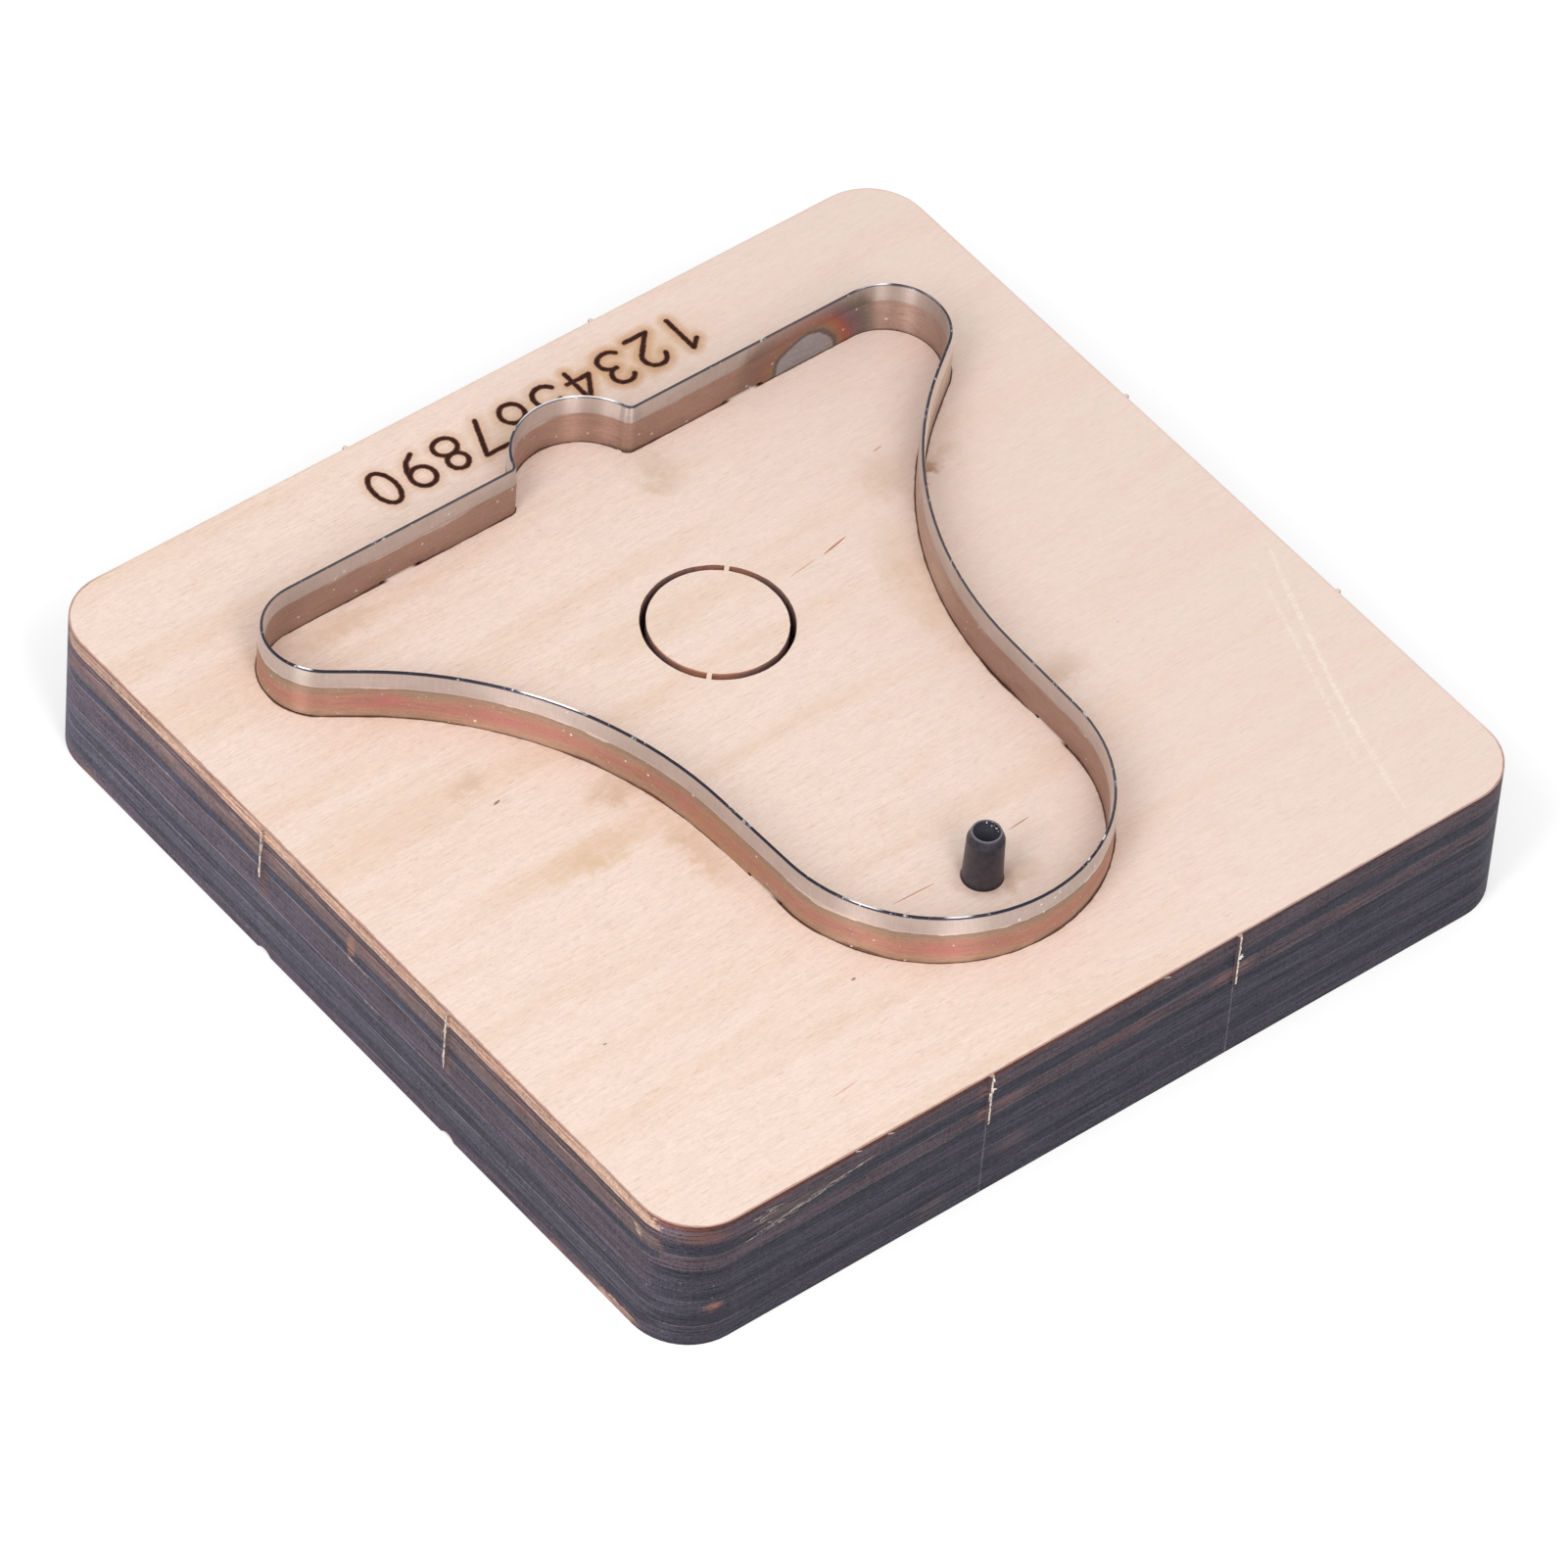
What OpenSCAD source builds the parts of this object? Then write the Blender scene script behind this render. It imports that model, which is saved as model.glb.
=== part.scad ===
/* [Board] */
// Length of the plywood board along X
board_w = 108; // [100:1:130]
// Width of the plywood board along Y
board_d = 104; // [98:1:125]
// Thickness of the plywood board
board_t = 17.5; // [15:0.5:19]
// Radius of the board's corners
board_r = 6.6; // [2:0.1:12]

/* [Cut shape] */
// Overall width of the cut shape, on the rule's centre line
shape_w = 85; // [82:0.5:88]
// Overall height of the cut shape, on the rule's centre line
shape_h = 81.5; // [80:0.5:84]
// Radius of the bump at the top
bump_r = 7.6; // [6.5:0.1:8.5]
// Angle that the rule turns through on each half of the bump
bump_turn = 67; // [55:1:72]
// Straight stretch on each side of the bump
bump_run = 0.5; // [0.2:0.1:1.5]
// Radius of the sharp bends at the foot of the bump
notch_r = 0.8; // [0.7:0.1:2]
// Radius of the shoulder corners
corner_r = 6.2; // [5.5:0.1:7]
// Angle that the rule turns through at a shoulder corner
corner_turn = 144.5; // [142:0.5:146]
// Radius of the waist
waist_r = 43; // [40:0.5:45]
// Angle that the rule turns through along the waist
waist_turn = 53; // [51:0.5:54]
// Radius of the round lobe at the bottom
lobe_r = 18.25; // [17:0.25:19.5]

/* [Cutting rule] */
// Height of the steel rule from its foot to its cutting edge
rule_h = 23.8; // [23.3:0.1:25.4]
// Thickness of the steel rule
rule_t = 0.71; // [0.53:0.01:1.05]
// Height of the long ground bevel below the cutting edge
bevel_h = 2.2; // [0.8:0.1:3]
// Height of the short honed bevel at the cutting edge
hone_h = 0.25; // [0.1:0.05:0.5]
// Thickness of the rule where the long bevel meets the honed one
hone_t = 0.3; // [0.1:0.05:0.4]
// Width of the tiny flat left on the cutting edge
edge_flat = 0.04; // [0.02:0.01:0.08]
// Clearance between the rule and each side of its slot
rule_fit = 0.03; // [0.02:0.01:0.15]

/* [Bridges] */
// Width of each bridge of wood left across the rule's slot
bridge_w = 4.4; // [3:0.1:6]
// Clearance between a bridge and each end of the rule's notch
notch_gap = 0.4; // [0.2:0.1:1]
// Clearance between the board's top and the roof of the rule's notch
notch_roof = 0.3; // [0.1:0.05:0.6]
// Distance of the top bridges from the middle of the shape
bridge_x = 22; // [18:0.5:26]
// Distance of the side bridges above the start of the lobe
bridge_rise = 2.9; // [2.5:0.1:4]

/* [Hole punch] */
// Height of the punch from its foot to its cutting mouth
punch_h = 24; // [23.5:0.1:25.5]
// Outside diameter of the punch in the board
punch_od = 4.2; // [3.8:0.1:5]
// Outside diameter of the punch just below its bevel
punch_neck_od = 3.9; // [3.6:0.05:5]
// Outside diameter of the punch's mouth
mouth_od = 3.15; // [3.05:0.05:3.4]
// Diameter of the hole that the punch cuts
mouth_bore = 2.8; // [2:0.1:2.9]
// Height of the bevel round the mouth
punch_bevel_h = 1; // [0.5:0.1:2]
// Diameter of the relieved bore below the mouth
relief_d = 3; // [2.9:0.05:3.4]
// Depth of the land at the mouth before the bore is relieved
land_h = 3; // [1:0.5:8]
// Clearance between the punch and its hole in the board
punch_fit = 0.02; // [0.02:0.01:0.1]
// Distance of the punch above the bottom of the shape
punch_rise = 9.6; // [7:0.1:14]

/* [Circle cut] */
// Outside diameter of the circular laser cut
circle_d = 15.8; // [10:0.1:20]
// Width of the circular laser cut
circle_kerf = 0.6; // [0.4:0.05:1]
// Width of the two ties that still hold the disc
circle_tie_w = 0.6; // [0.5:0.1:2]
// Direction of the first tie, the second is opposite
circle_tie_angle = 45; // [0:1:90]
// Distance of the circle's centre below the top of the shape
circle_drop = 29.75; // [24:0.25:36]

/* [Broken ties] */
// Width of a broken tie at the board's edge
tie_w = 0.6; // [0.4:0.1:2]
// Width of a broken tie at its tip
tie_tip_w = 0.3; // [0.2:0.05:0.4]
// Distance that a broken tie stands out of the board's edge
tie_out = 0.35; // [0.2:0.05:0.8]
// Depth below the board's top down to which a broken tie stands out, and is flush below it
tie_depth = 7; // [4:0.5:12]
// Distance of the front and back ties from the board's middle
tie_x = 15.8; // [10:0.1:24]
// Distance of the left ties from the board's middle
left_tie_y = 15; // [10:0.1:24]
// Distance of the right tie behind the board's middle
right_back_tie_y = 11.9; // [10:0.1:24]
// Distance of the right tie before the board's middle
right_front_tie_y = 21.8; // [10:0.1:30]
// Width of the chip that broke out of the underside below each left tie
chip_w = 2; // [1:0.1:3]
// Height of that chip on the board's edge
chip_h = 0.5; // [0.2:0.05:0.9]
// Depth of that chip into the board
chip_in = 0.8; // [0.4:0.1:1.5]
// Distance of that chip from its tie, towards the front
chip_shift = 0.9; // [0:0.1:1.5]

/* [Hidden] */
// Length by which a cut runs past the face it opens on
over = 1;
// Depth by which a broken tie is rooted in the board
tie_root = 0.5;
// Length by which a straight laps into the bend at each of its ends
seam_lap = 0.02;
// Amount by which each side of a straight is thinner than a bend, so that every lap is clean
seam_hair = 0.001;
// Segments in a full circle
segments = 180;

half_t = rule_t / 2;
slot_half = half_t + rule_fit;
lobe_heading = corner_turn - waist_turn;
lobe_turn = 180 - lobe_heading;

// Height lost on each side of the bump, down to the flat shoulder
bump_fall = (bump_r + notch_r) * (1 - cos(bump_turn)) + bump_run * sin(bump_turn);
bump_reach = (bump_r + notch_r) * sin(bump_turn) + bump_run * cos(bump_turn);
shoulder_run = shape_w / 2 - corner_r - bump_reach;

// Where the shoulder corner ends, and how far the waist carries the rule from there
corner_end = [
    shape_w / 2 - corner_r + corner_r * sin(corner_turn),
    -bump_fall - corner_r * (1 - cos(corner_turn))
];
waist_move = waist_r * [
    sin(corner_turn) - sin(lobe_heading),
    cos(corner_turn) - cos(lobe_heading)
];
// The lobe has to end on the middle line at the bottom of the shape
lobe_start = [
    lobe_r * sin(lobe_heading),
    -shape_h + lobe_r * (1 + cos(lobe_heading))
];
// The two straights that close the chain, solved along their own directions
gap = lobe_start - corner_end - waist_move;
hip_run = -(gap[0] * sin(lobe_heading) + gap[1] * cos(lobe_heading)) / sin(waist_turn);
side_run = (gap[0] * sin(corner_turn) + gap[1] * cos(corner_turn)) / sin(waist_turn);

// Half of the outline from the top of the bump, each step as [length or radius, turn],
// where a turn of zero is a straight and a positive turn bends inwards
CHAIN = [
    [bump_r, bump_turn],
    [bump_run, 0],
    [notch_r, -bump_turn],
    [shoulder_run, 0],
    [corner_r, corner_turn],
    [hip_run, 0],
    [waist_r, -waist_turn],
    [side_run, 0],
    [lobe_r, lobe_turn]
];
top_y = shape_h / 2;

// Position and heading where a step of the chain starts
function step_start(i) =
    i == 0 ? [0, top_y, 0] : step_end(step_start(i - 1), CHAIN[i - 1]);

function step_end(at, step) =
    step[1] == 0
    ? [at[0] + step[0] * cos(at[2]), at[1] + step[0] * sin(at[2]), at[2]]
    : arc_end(at, step[0] * sign(step[1]), at[2] - step[1]);

function arc_end(at, bend_r, heading) = [
    at[0] + bend_r * (sin(at[2]) - sin(heading)),
    at[1] - bend_r * (cos(at[2]) - cos(heading)),
    heading
];

// Where a bend would have to start to reach a place after a turn
function turned_back(at, bend_r, turn) = arc_end(at, bend_r, at[2] + turn);

module along_straight(at, run) {
    $shrink = seam_hair;
    translate([at[0], at[1], 0])
        rotate([90, 0, at[2] + 90])
            translate([0, 0, -seam_lap])
                linear_extrude(height = run + 2 * seam_lap)
                    children();
}

// The section stands at the bend's radius, and is mirrored where the bend turns outwards
module along_bend(at, bend_r, turn) {
    $shrink = 0;
    inwards = turn > 0;
    centre = inwards ? bend_r : -bend_r;
    translate([at[0] + centre * sin(at[2]), at[1] - centre * cos(at[2]), 0])
        rotate([0, 0, inwards ? at[2] + 90 - turn : at[2] - 90])
            rotate_extrude(angle = abs(turn), $fn = segments)
                translate([bend_r, 0])
                    mirror([inwards ? 0 : 1, 0])
                        children();
}

// Sweeps a section round the outline: the bump and the lobe whole, the steps between them twice
module along_shape() {
    last = len(CHAIN) - 1;
    along_bend(turned_back(step_start(0), bump_r, bump_turn), bump_r, 2 * bump_turn) children();
    along_bend(step_start(last), lobe_r, 2 * lobe_turn) children();
    for (side = [0, 1])
        mirror([side, 0, 0])
            for (i = [1:last - 1])
                if (CHAIN[i][1] == 0)
                    along_straight(step_start(i), CHAIN[i][0]) children();
                else
                    along_bend(step_start(i), CHAIN[i][0], CHAIN[i][1]) children();
}

// Puts its children at the middle of each bridge, with X along the rule
module at_bridges() {
    for (side = [0, 1])
        mirror([side, 0, 0]) {
            translate([bridge_x, top_y - bump_fall, 0])
                children();
            translate([
                lobe_start[0] - bridge_rise * cos(lobe_heading),
                lobe_start[1] + bridge_rise * sin(lobe_heading) + top_y,
                0
            ])
                rotate([0, 0, -lobe_heading])
                    children();
        }
}

module rule_section() {
    body_x = half_t - $shrink;
    hone_x = hone_t / 2 - $shrink;
    edge_x = edge_flat / 2 - $shrink;
    polygon([
        [-body_x, 0],
        [body_x, 0],
        [body_x, rule_h - bevel_h],
        [hone_x, rule_h - hone_h],
        [edge_x, rule_h],
        [-edge_x, rule_h],
        [-hone_x, rule_h - hone_h],
        [-body_x, rule_h - bevel_h]
    ]);
}

module slot_section() {
    wall_x = slot_half - $shrink;
    translate([-wall_x, -over])
        square([2 * wall_x, board_t + 2 * over]);
}

module board_outline() {
    square([board_w - 2 * board_r, board_d], center = true);
    square([board_w, board_d - 2 * board_r], center = true);
    for (x = [-1, 1], y = [-1, 1])
        translate([x * (board_w / 2 - board_r), y * (board_d / 2 - board_r)])
            circle(board_r, $fn = segments);
}

module broken_tie() {
    translate([0, 0, board_t - tie_depth])
        linear_extrude(height = tie_depth)
            polygon([
                [-tie_w / 2, -tie_root],
                [tie_w / 2, -tie_root],
                [tie_w / 2, 0],
                [tie_tip_w / 2, tie_out],
                [-tie_tip_w / 2, tie_out],
                [-tie_w / 2, 0]
            ]);
}

module broken_ties() {
    for (turn = [0, 180], x = [-tie_x, tie_x])
        rotate([0, 0, turn])
            translate([x, board_d / 2, 0])
                broken_tie();
    for (y = [-left_tie_y, left_tie_y])
        translate([-board_w / 2, y, 0])
            rotate([0, 0, 90])
                broken_tie();
    for (y = [-right_front_tie_y, right_back_tie_y])
        translate([board_w / 2, y, 0])
            rotate([0, 0, -90])
                broken_tie();
}

// A round scoop across the lower edge, as wide and as high there as the chip
module broken_chips() {
    scoop_r = (chip_w * chip_w / 4 + chip_h * chip_h) / (2 * chip_h);
    for (y = [-left_tie_y, left_tie_y])
        translate([-board_w / 2 - over, y - chip_shift, chip_h - scoop_r])
            rotate([0, 90, 0])
                cylinder(r = scoop_r, h = chip_in + over, $fn = segments);
}

module rule_slots() {
    difference() {
        along_shape() slot_section();
        at_bridges()
            translate([-bridge_w / 2, -rule_t, -2 * over])
                cube([bridge_w, 2 * rule_t, board_t + 4 * over]);
    }
}

module circle_cut() {
    mid_r = (circle_d - circle_kerf) / 2;
    tie_turn = circle_tie_w / mid_r * 180 / PI;
    translate([0, top_y - circle_drop, 0])
        for (turn = [0, 180])
            rotate([0, 0, circle_tie_angle + tie_turn / 2 + turn])
                rotate_extrude(angle = 180 - tie_turn, $fn = segments)
                    translate([mid_r - circle_kerf / 2, -over])
                        square([circle_kerf, board_t + 2 * over]);
}

module at_punch() {
    translate([0, punch_rise - shape_h + top_y, 0])
        children();
}

module die_board() {
    color([0.92, 0.82, 0.72])
        difference() {
            union() {
                linear_extrude(height = board_t)
                    board_outline();
                broken_ties();
            }
            rule_slots();
            circle_cut();
            broken_chips();
            at_punch()
                translate([0, 0, -over])
                    cylinder(d = punch_od + 2 * punch_fit, h = board_t + 2 * over, $fn = segments);
        }
}

module cutting_rule() {
    color([0.56, 0.5, 0.47])
        difference() {
            along_shape() rule_section();
            at_bridges()
                translate([-bridge_w / 2 - notch_gap, -rule_t, -over])
                    cube([bridge_w + 2 * notch_gap, 2 * rule_t, board_t + notch_roof + over]);
        }
}

module hole_punch() {
    color([0.25, 0.25, 0.27])
        at_punch()
            rotate_extrude($fn = segments)
                polygon([
                    [relief_d / 2, 0],
                    [punch_od / 2, 0],
                    [punch_od / 2, board_t],
                    [punch_neck_od / 2, punch_h - punch_bevel_h],
                    [mouth_od / 2, punch_h],
                    [mouth_bore / 2, punch_h],
                    [mouth_bore / 2, punch_h - land_h],
                    [relief_d / 2, punch_h - land_h]
                ]);
}

die_board();
cutting_rule();
hole_punch();
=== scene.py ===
"""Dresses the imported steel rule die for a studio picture.

The board is laser-cut birch plywood, the rule is tempered steel with a ground bevel, and the punch is
blackened steel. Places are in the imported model's frame: the origin is the middle of the board's
underside, +Z points up to the cutting edge and +Y towards the bump. Meshes are in metres, and every
pattern works in millimetres.
"""

import logging
import math
import random
from dataclasses import dataclass
from enum import Enum
from typing import Union

import bmesh
import bpy
from mathutils import Matrix, Vector


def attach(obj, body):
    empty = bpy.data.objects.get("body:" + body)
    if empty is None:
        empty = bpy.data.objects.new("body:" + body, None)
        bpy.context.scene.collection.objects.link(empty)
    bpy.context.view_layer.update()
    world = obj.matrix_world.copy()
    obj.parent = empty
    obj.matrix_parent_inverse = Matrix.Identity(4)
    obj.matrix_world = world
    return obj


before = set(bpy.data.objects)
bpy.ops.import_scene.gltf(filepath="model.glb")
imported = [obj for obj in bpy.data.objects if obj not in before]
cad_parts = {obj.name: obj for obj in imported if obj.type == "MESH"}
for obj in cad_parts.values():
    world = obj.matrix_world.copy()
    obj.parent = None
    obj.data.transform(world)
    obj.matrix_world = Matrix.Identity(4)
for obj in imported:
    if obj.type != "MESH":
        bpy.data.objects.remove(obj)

log = logging.getLogger("steel_rule_die")
MM = 0.001
Socket = bpy.types.NodeSocket
Feed = Union[Socket, float, tuple]
Feeds = dict[Union[str, int], Feed]
Colour = tuple[float, float, float, float]
Place = tuple[float, float, float]
Spot = tuple[float, float]


def paint(red: float, green: float, blue: float) -> Colour:
    """Turns a screen colour of 0 to 255 into the linear colour that Blender works with.

    Args:
        red, green, blue: the colour as it looks on a screen.

    Returns:
        The linear colour with full alpha.
    """

    def linear(level: float) -> float:
        """Undoes the screen's curve for one channel."""
        share = level / 255
        return share / 12.92 if share <= 0.04045 else ((share + 0.055) / 1.055) ** 2.4

    return (linear(red), linear(green), linear(blue), 1.0)


class Wiring:
    """A node tree with one short method for each kind of node that the finishes use."""

    def __init__(self, tree: bpy.types.NodeTree) -> None:
        """Takes a tree and empties it."""
        self.tree = tree
        tree.nodes.clear()

    def feed(self, socket: Socket, value: Feed) -> None:
        """Links a socket, or sets its own value."""
        if isinstance(value, bpy.types.NodeSocket):
            self.tree.links.new(value, socket)
        else:
            socket.default_value = value

    def add(self, kind: str, feeds: Feeds, **settings: object) -> bpy.types.Node:
        """Adds a node.

        Args:
            kind: the node's type without its ShaderNode prefix.
            feeds: what goes into its inputs, by name or number.
            settings: the node's own properties.

        Returns:
            The new node.
        """
        node = self.tree.nodes.new(f"ShaderNode{kind}")
        for name, value in settings.items():
            setattr(node, name, value)
        for key, value in feeds.items():
            self.feed(node.inputs[key], value)
        return node

    def math(self, operation: str, a: Feed, b: Feed = 0.0, c: Feed = 0.0) -> Socket:
        """One Math node."""
        return self.add("Math", {0: a, 1: b, 2: c}, operation=operation).outputs[0]

    def plus(self, a: Feed, b: Feed) -> Socket:
        """The sum."""
        return self.math("ADD", a, b)

    def minus(self, a: Feed, b: Feed) -> Socket:
        """What is left of a without b."""
        return self.math("SUBTRACT", a, b)

    def times(self, a: Feed, b: Feed) -> Socket:
        """The product."""
        return self.math("MULTIPLY", a, b)

    def over(self, a: Feed, b: Feed) -> Socket:
        """The quotient."""
        return self.math("DIVIDE", a, b)

    def scaled(self, value: Feed, factor: Feed, offset: Feed) -> Socket:
        """A value times a factor, plus an offset."""
        return self.math("MULTIPLY_ADD", value, factor, offset)

    def positive(self, value: Feed) -> Socket:
        """The value without its sign."""
        return self.math("ABSOLUTE", value)

    def least(self, a: Feed, b: Feed) -> Socket:
        """The smaller of two values."""
        return self.math("MINIMUM", a, b)

    def vector(self, operation: str, a: Feed, b: Feed = (0.0, 0.0, 0.0)) -> bpy.types.Node:
        """One Vector Math node of two vectors."""
        return self.add("VectorMath", {0: a, 1: b}, operation=operation)

    def stretched(self, place: Feed, factors: Place) -> Socket:
        """A place multiplied along each axis."""
        return self.vector("MULTIPLY", place, factors).outputs[0]

    def span(self, value: Feed, low: float, high: float, top: Feed = 1.0) -> Socket:
        """A smooth step from 0 at low to top at high, where low may be the larger."""
        feeds: Feeds = {0: value, 1: low, 2: high, 3: 0.0, 4: top}
        return self.add("MapRange", feeds, interpolation_type="SMOOTHSTEP").outputs[0]

    def mix(self, share: Feed, a: Feed, b: Feed, blend: str = "MIX") -> Socket:
        """Mixes two colours."""
        return self.add("Mix", {0: share, 6: a, 7: b}, data_type="RGBA", blend_type=blend).outputs[2]

    def noise(self, place: Feed, scale: float, detail: float = 2.0, rough: float = 0.5) -> Socket:
        """A noise of 0 to 1 round a half."""
        feeds: Feeds = {"Vector": place, "Scale": scale, "Detail": detail, "Roughness": rough}
        return self.add("TexNoise", feeds).outputs[0]

    def drawn(self, place: Feed, factors: Place, detail: float = 2.0, rough: float = 0.5) -> Socket:
        """A noise drawn out along the axes; a larger factor makes it finer there."""
        return self.noise(self.stretched(place, factors), 1.0, detail, rough)

    def most(self, *masks: Feed) -> Socket:
        """The largest of several masks."""
        result = masks[0]
        for mask in masks[1:]:
            result = self.math("MAXIMUM", result, mask)
        return result

    def ramp(self, value: Feed, stops: list[tuple[float, Colour]]) -> Socket:
        """A colour ramp with the given stops."""
        node = self.add("ValToRGB", {0: value})
        elements = node.color_ramp.elements
        elements[0].position, elements[0].color = stops[0]
        elements[1].position, elements[1].color = stops[-1]
        for position, colour in stops[1:-1]:
            elements.new(position).color = colour
        return node.outputs[0]

    def shaded(self, colour: Feed, light: Feed) -> Socket:
        """A colour multiplied by a level of light or dark."""
        shade = self.add("CombineColor", {0: light, 1: light, 2: light}).outputs[0]
        return self.mix(1.0, colour, shade, "MULTIPLY")

    def group(self, tree: bpy.types.NodeTree, **feeds: Feed) -> bpy.types.Node:
        """Places a shared effect and feeds its inputs by name."""
        node = self.tree.nodes.new("ShaderNodeGroup")
        node.node_tree = tree
        for name, value in feeds.items():
            self.feed(node.inputs[name], value)
        return node

    def millimetres(self) -> Socket:
        """The object's own coordinates in millimetres."""
        place = self.add("TexCoord", {}).outputs["Object"]
        return self.stretched(place, (1 / MM, 1 / MM, 1 / MM))

    def parts(self, place: Feed) -> tuple[Socket, Socket, Socket]:
        """The three coordinates of a place."""
        node = self.add("SeparateXYZ", {0: place})
        return node.outputs[0], node.outputs[1], node.outputs[2]


@dataclass(frozen=True)
class Bend:
    """A bend of the rule's outline in the half at positive x, in millimetres.

    Directions are clockwise from +Y, seen from above. An outward bend has its centre outside the shape.
    """

    centre: Spot
    radius: float
    start: float
    end: float
    outward: bool = False


@dataclass(frozen=True)
class Straight:
    """A straight of the rule's outline in the half at positive x, in millimetres."""

    start: Spot
    end: Spot


OUTLINE: tuple[Union[Bend, Straight], ...] = (
    Bend((0.0, 33.15), 7.6, -67.0, 67.0),
    Bend((7.928, 35.97), 0.8, 180.0, 247.0, outward=True),
    Straight((7.928, 35.17), (36.3, 35.17)),
    Bend((36.3, 28.97), 6.2, 0.0, 144.5),
    Straight((39.9, 23.92), (36.54, 21.52)),
    Bend((61.5, -13.5), 43.0, 271.5, 324.5, outward=True),
    Straight((18.52, -12.36), (18.24, -22.98)),
    Bend((0.0, -22.5), 18.25, 91.5, 180.0),
)
BOARD_HALF: Spot = (54.0, 52.0)
BOARD_TOP = 17.5
BOARD_CORNER = 6.6
FRONT_TIE = 15.8
LEFT_TIE = 15.0
RIGHT_TIES: Spot = (11.9, -21.8)
CIRCLE: Place = (0.0, 11.0, BOARD_TOP)
CIRCLE_RADIUS = 7.6
KERF_HALF = 0.3
PUNCH: Spot = (0.0, -31.15)
RULE_HALF = 0.355
RULE_TOP = 23.8


class SharedEffects:
    """The node groups that more than one finish uses, each built once."""

    def __init__(self) -> None:
        """Builds every group."""
        self.patch = self._patch()
        self.streak = self._streak()
        self.grain = self._grain()
        self.specks = self._specks()
        self.outline = self._outline()

    def covered(self, w: Wiring, place: Feed, centre: Place, radii: Place, core: float) -> Socket:
        """How far a soft patch covers a place, from 0 to 1."""
        return w.group(self.patch, Place=place, Centre=centre, Radii=radii, Core=core).outputs[0]

    def patch_mask(self, w: Wiring, place: Feed, mark: "StainOrPaintedLight") -> Socket:
        """How far a stain or a patch of painted light covers a place, from 0 to 1."""
        return self.covered(w, place, mark.centre, mark.radii, mark.core)

    @staticmethod
    def _new(name: str, takes: dict[str, str], gives: tuple[str, ...]) -> tuple[bpy.types.NodeTree, Wiring, dict]:
        """Starts a group.

        Args:
            name: the group's name.
            takes: each input's name and its socket type, Float or Vector.
            gives: the names of the value outputs.

        Returns:
            The tree, its wiring, and the input sockets by name.
        """
        tree = bpy.data.node_groups.new(name, "ShaderNodeTree")
        for label, kind in takes.items():
            tree.interface.new_socket(label, in_out="INPUT", socket_type=f"NodeSocket{kind}")
        for label in gives:
            tree.interface.new_socket(label, in_out="OUTPUT", socket_type="NodeSocketFloat")
        wiring = Wiring(tree)
        entry = tree.nodes.new("NodeGroupInput")
        return tree, wiring, {label: entry.outputs[label] for label in takes}

    @staticmethod
    def _close(tree: bpy.types.NodeTree, results: dict[str, Socket]) -> bpy.types.NodeTree:
        """Links the results to the group's outputs."""
        leave = tree.nodes.new("NodeGroupOutput")
        for label, socket in results.items():
            tree.links.new(socket, leave.inputs[label])
        return tree

    def _patch(self) -> bpy.types.NodeTree:
        """A soft ellipsoid that masks a stain or a patch of painted light."""
        takes = {"Place": "Vector", "Centre": "Vector", "Radii": "Vector", "Core": "Float"}
        tree, w, given = self._new("stain_or_light_patch", takes, ("Mask",))
        offset = w.vector("SUBTRACT", given["Place"], given["Centre"]).outputs[0]
        reach = w.vector("LENGTH", w.vector("DIVIDE", offset, given["Radii"]).outputs[0]).outputs["Value"]
        feeds: Feeds = {0: reach, 1: 1.0, 2: given["Core"], 3: 0.0, 4: 1.0}
        mask = w.add("MapRange", feeds, interpolation_type="SMOOTHSTEP").outputs[0]
        return self._close(tree, {"Mask": mask})

    def _streak(self) -> bpy.types.NodeTree:
        """A thin line that tapers at both ends."""
        takes = {"Place": "Vector", "Start": "Vector", "End": "Vector", "Width": "Float"}
        tree, w, given = self._new("thin_streak", takes, ("Mask",))
        run = w.vector("SUBTRACT", given["End"], given["Start"]).outputs[0]
        offset = w.vector("SUBTRACT", given["Place"], given["Start"]).outputs[0]
        ahead = w.vector("DOT_PRODUCT", offset, run).outputs["Value"]
        whole = w.vector("DOT_PRODUCT", run, run).outputs["Value"]
        share = w.add("Clamp", {0: w.over(ahead, whole)}).outputs[0]
        step = w.add("VectorMath", {0: run, 3: share}, operation="SCALE").outputs[0]
        reach = w.vector("LENGTH", w.vector("SUBTRACT", offset, step).outputs[0]).outputs["Value"]
        bow = w.times(share, w.minus(1.0, share))
        width = w.times(given["Width"], w.scaled(bow, 3.0, 0.25))
        mask = w.span(w.over(reach, width), 1.0, 0.35)
        return self._close(tree, {"Mask": mask})

    def _grain(self) -> bpy.types.NodeTree:
        """Wood grain along X: fine fibres, wide bands and short open pores."""
        tree, w, given = self._new("wood_grain", {"Place": "Vector"}, ("Fibre", "Bands", "Pores", "Figure"))
        x, y, z = w.parts(given["Place"])
        drift = w.drawn(given["Place"], (0.02, 0.05, 0.05), 2.0)
        level = w.scaled(drift, 3.0, y)
        joined = w.add("CombineXYZ", {0: x, 1: level, 2: z}).outputs[0]
        fibre = w.drawn(joined, (0.42, 5.2, 4.6), 3.0, 0.68)
        bands = w.drawn(joined, (0.018, 0.19, 0.3), 3.0, 0.6)
        pores = w.span(w.drawn(joined, (0.9, 7.0, 5.0), 1.5), 0.58, 0.72)
        figure = w.drawn(joined, (0.14, 0.55, 0.6), 3.0, 0.6)
        return self._close(tree, {"Fibre": fibre, "Bands": bands, "Pores": pores, "Figure": figure})

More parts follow.
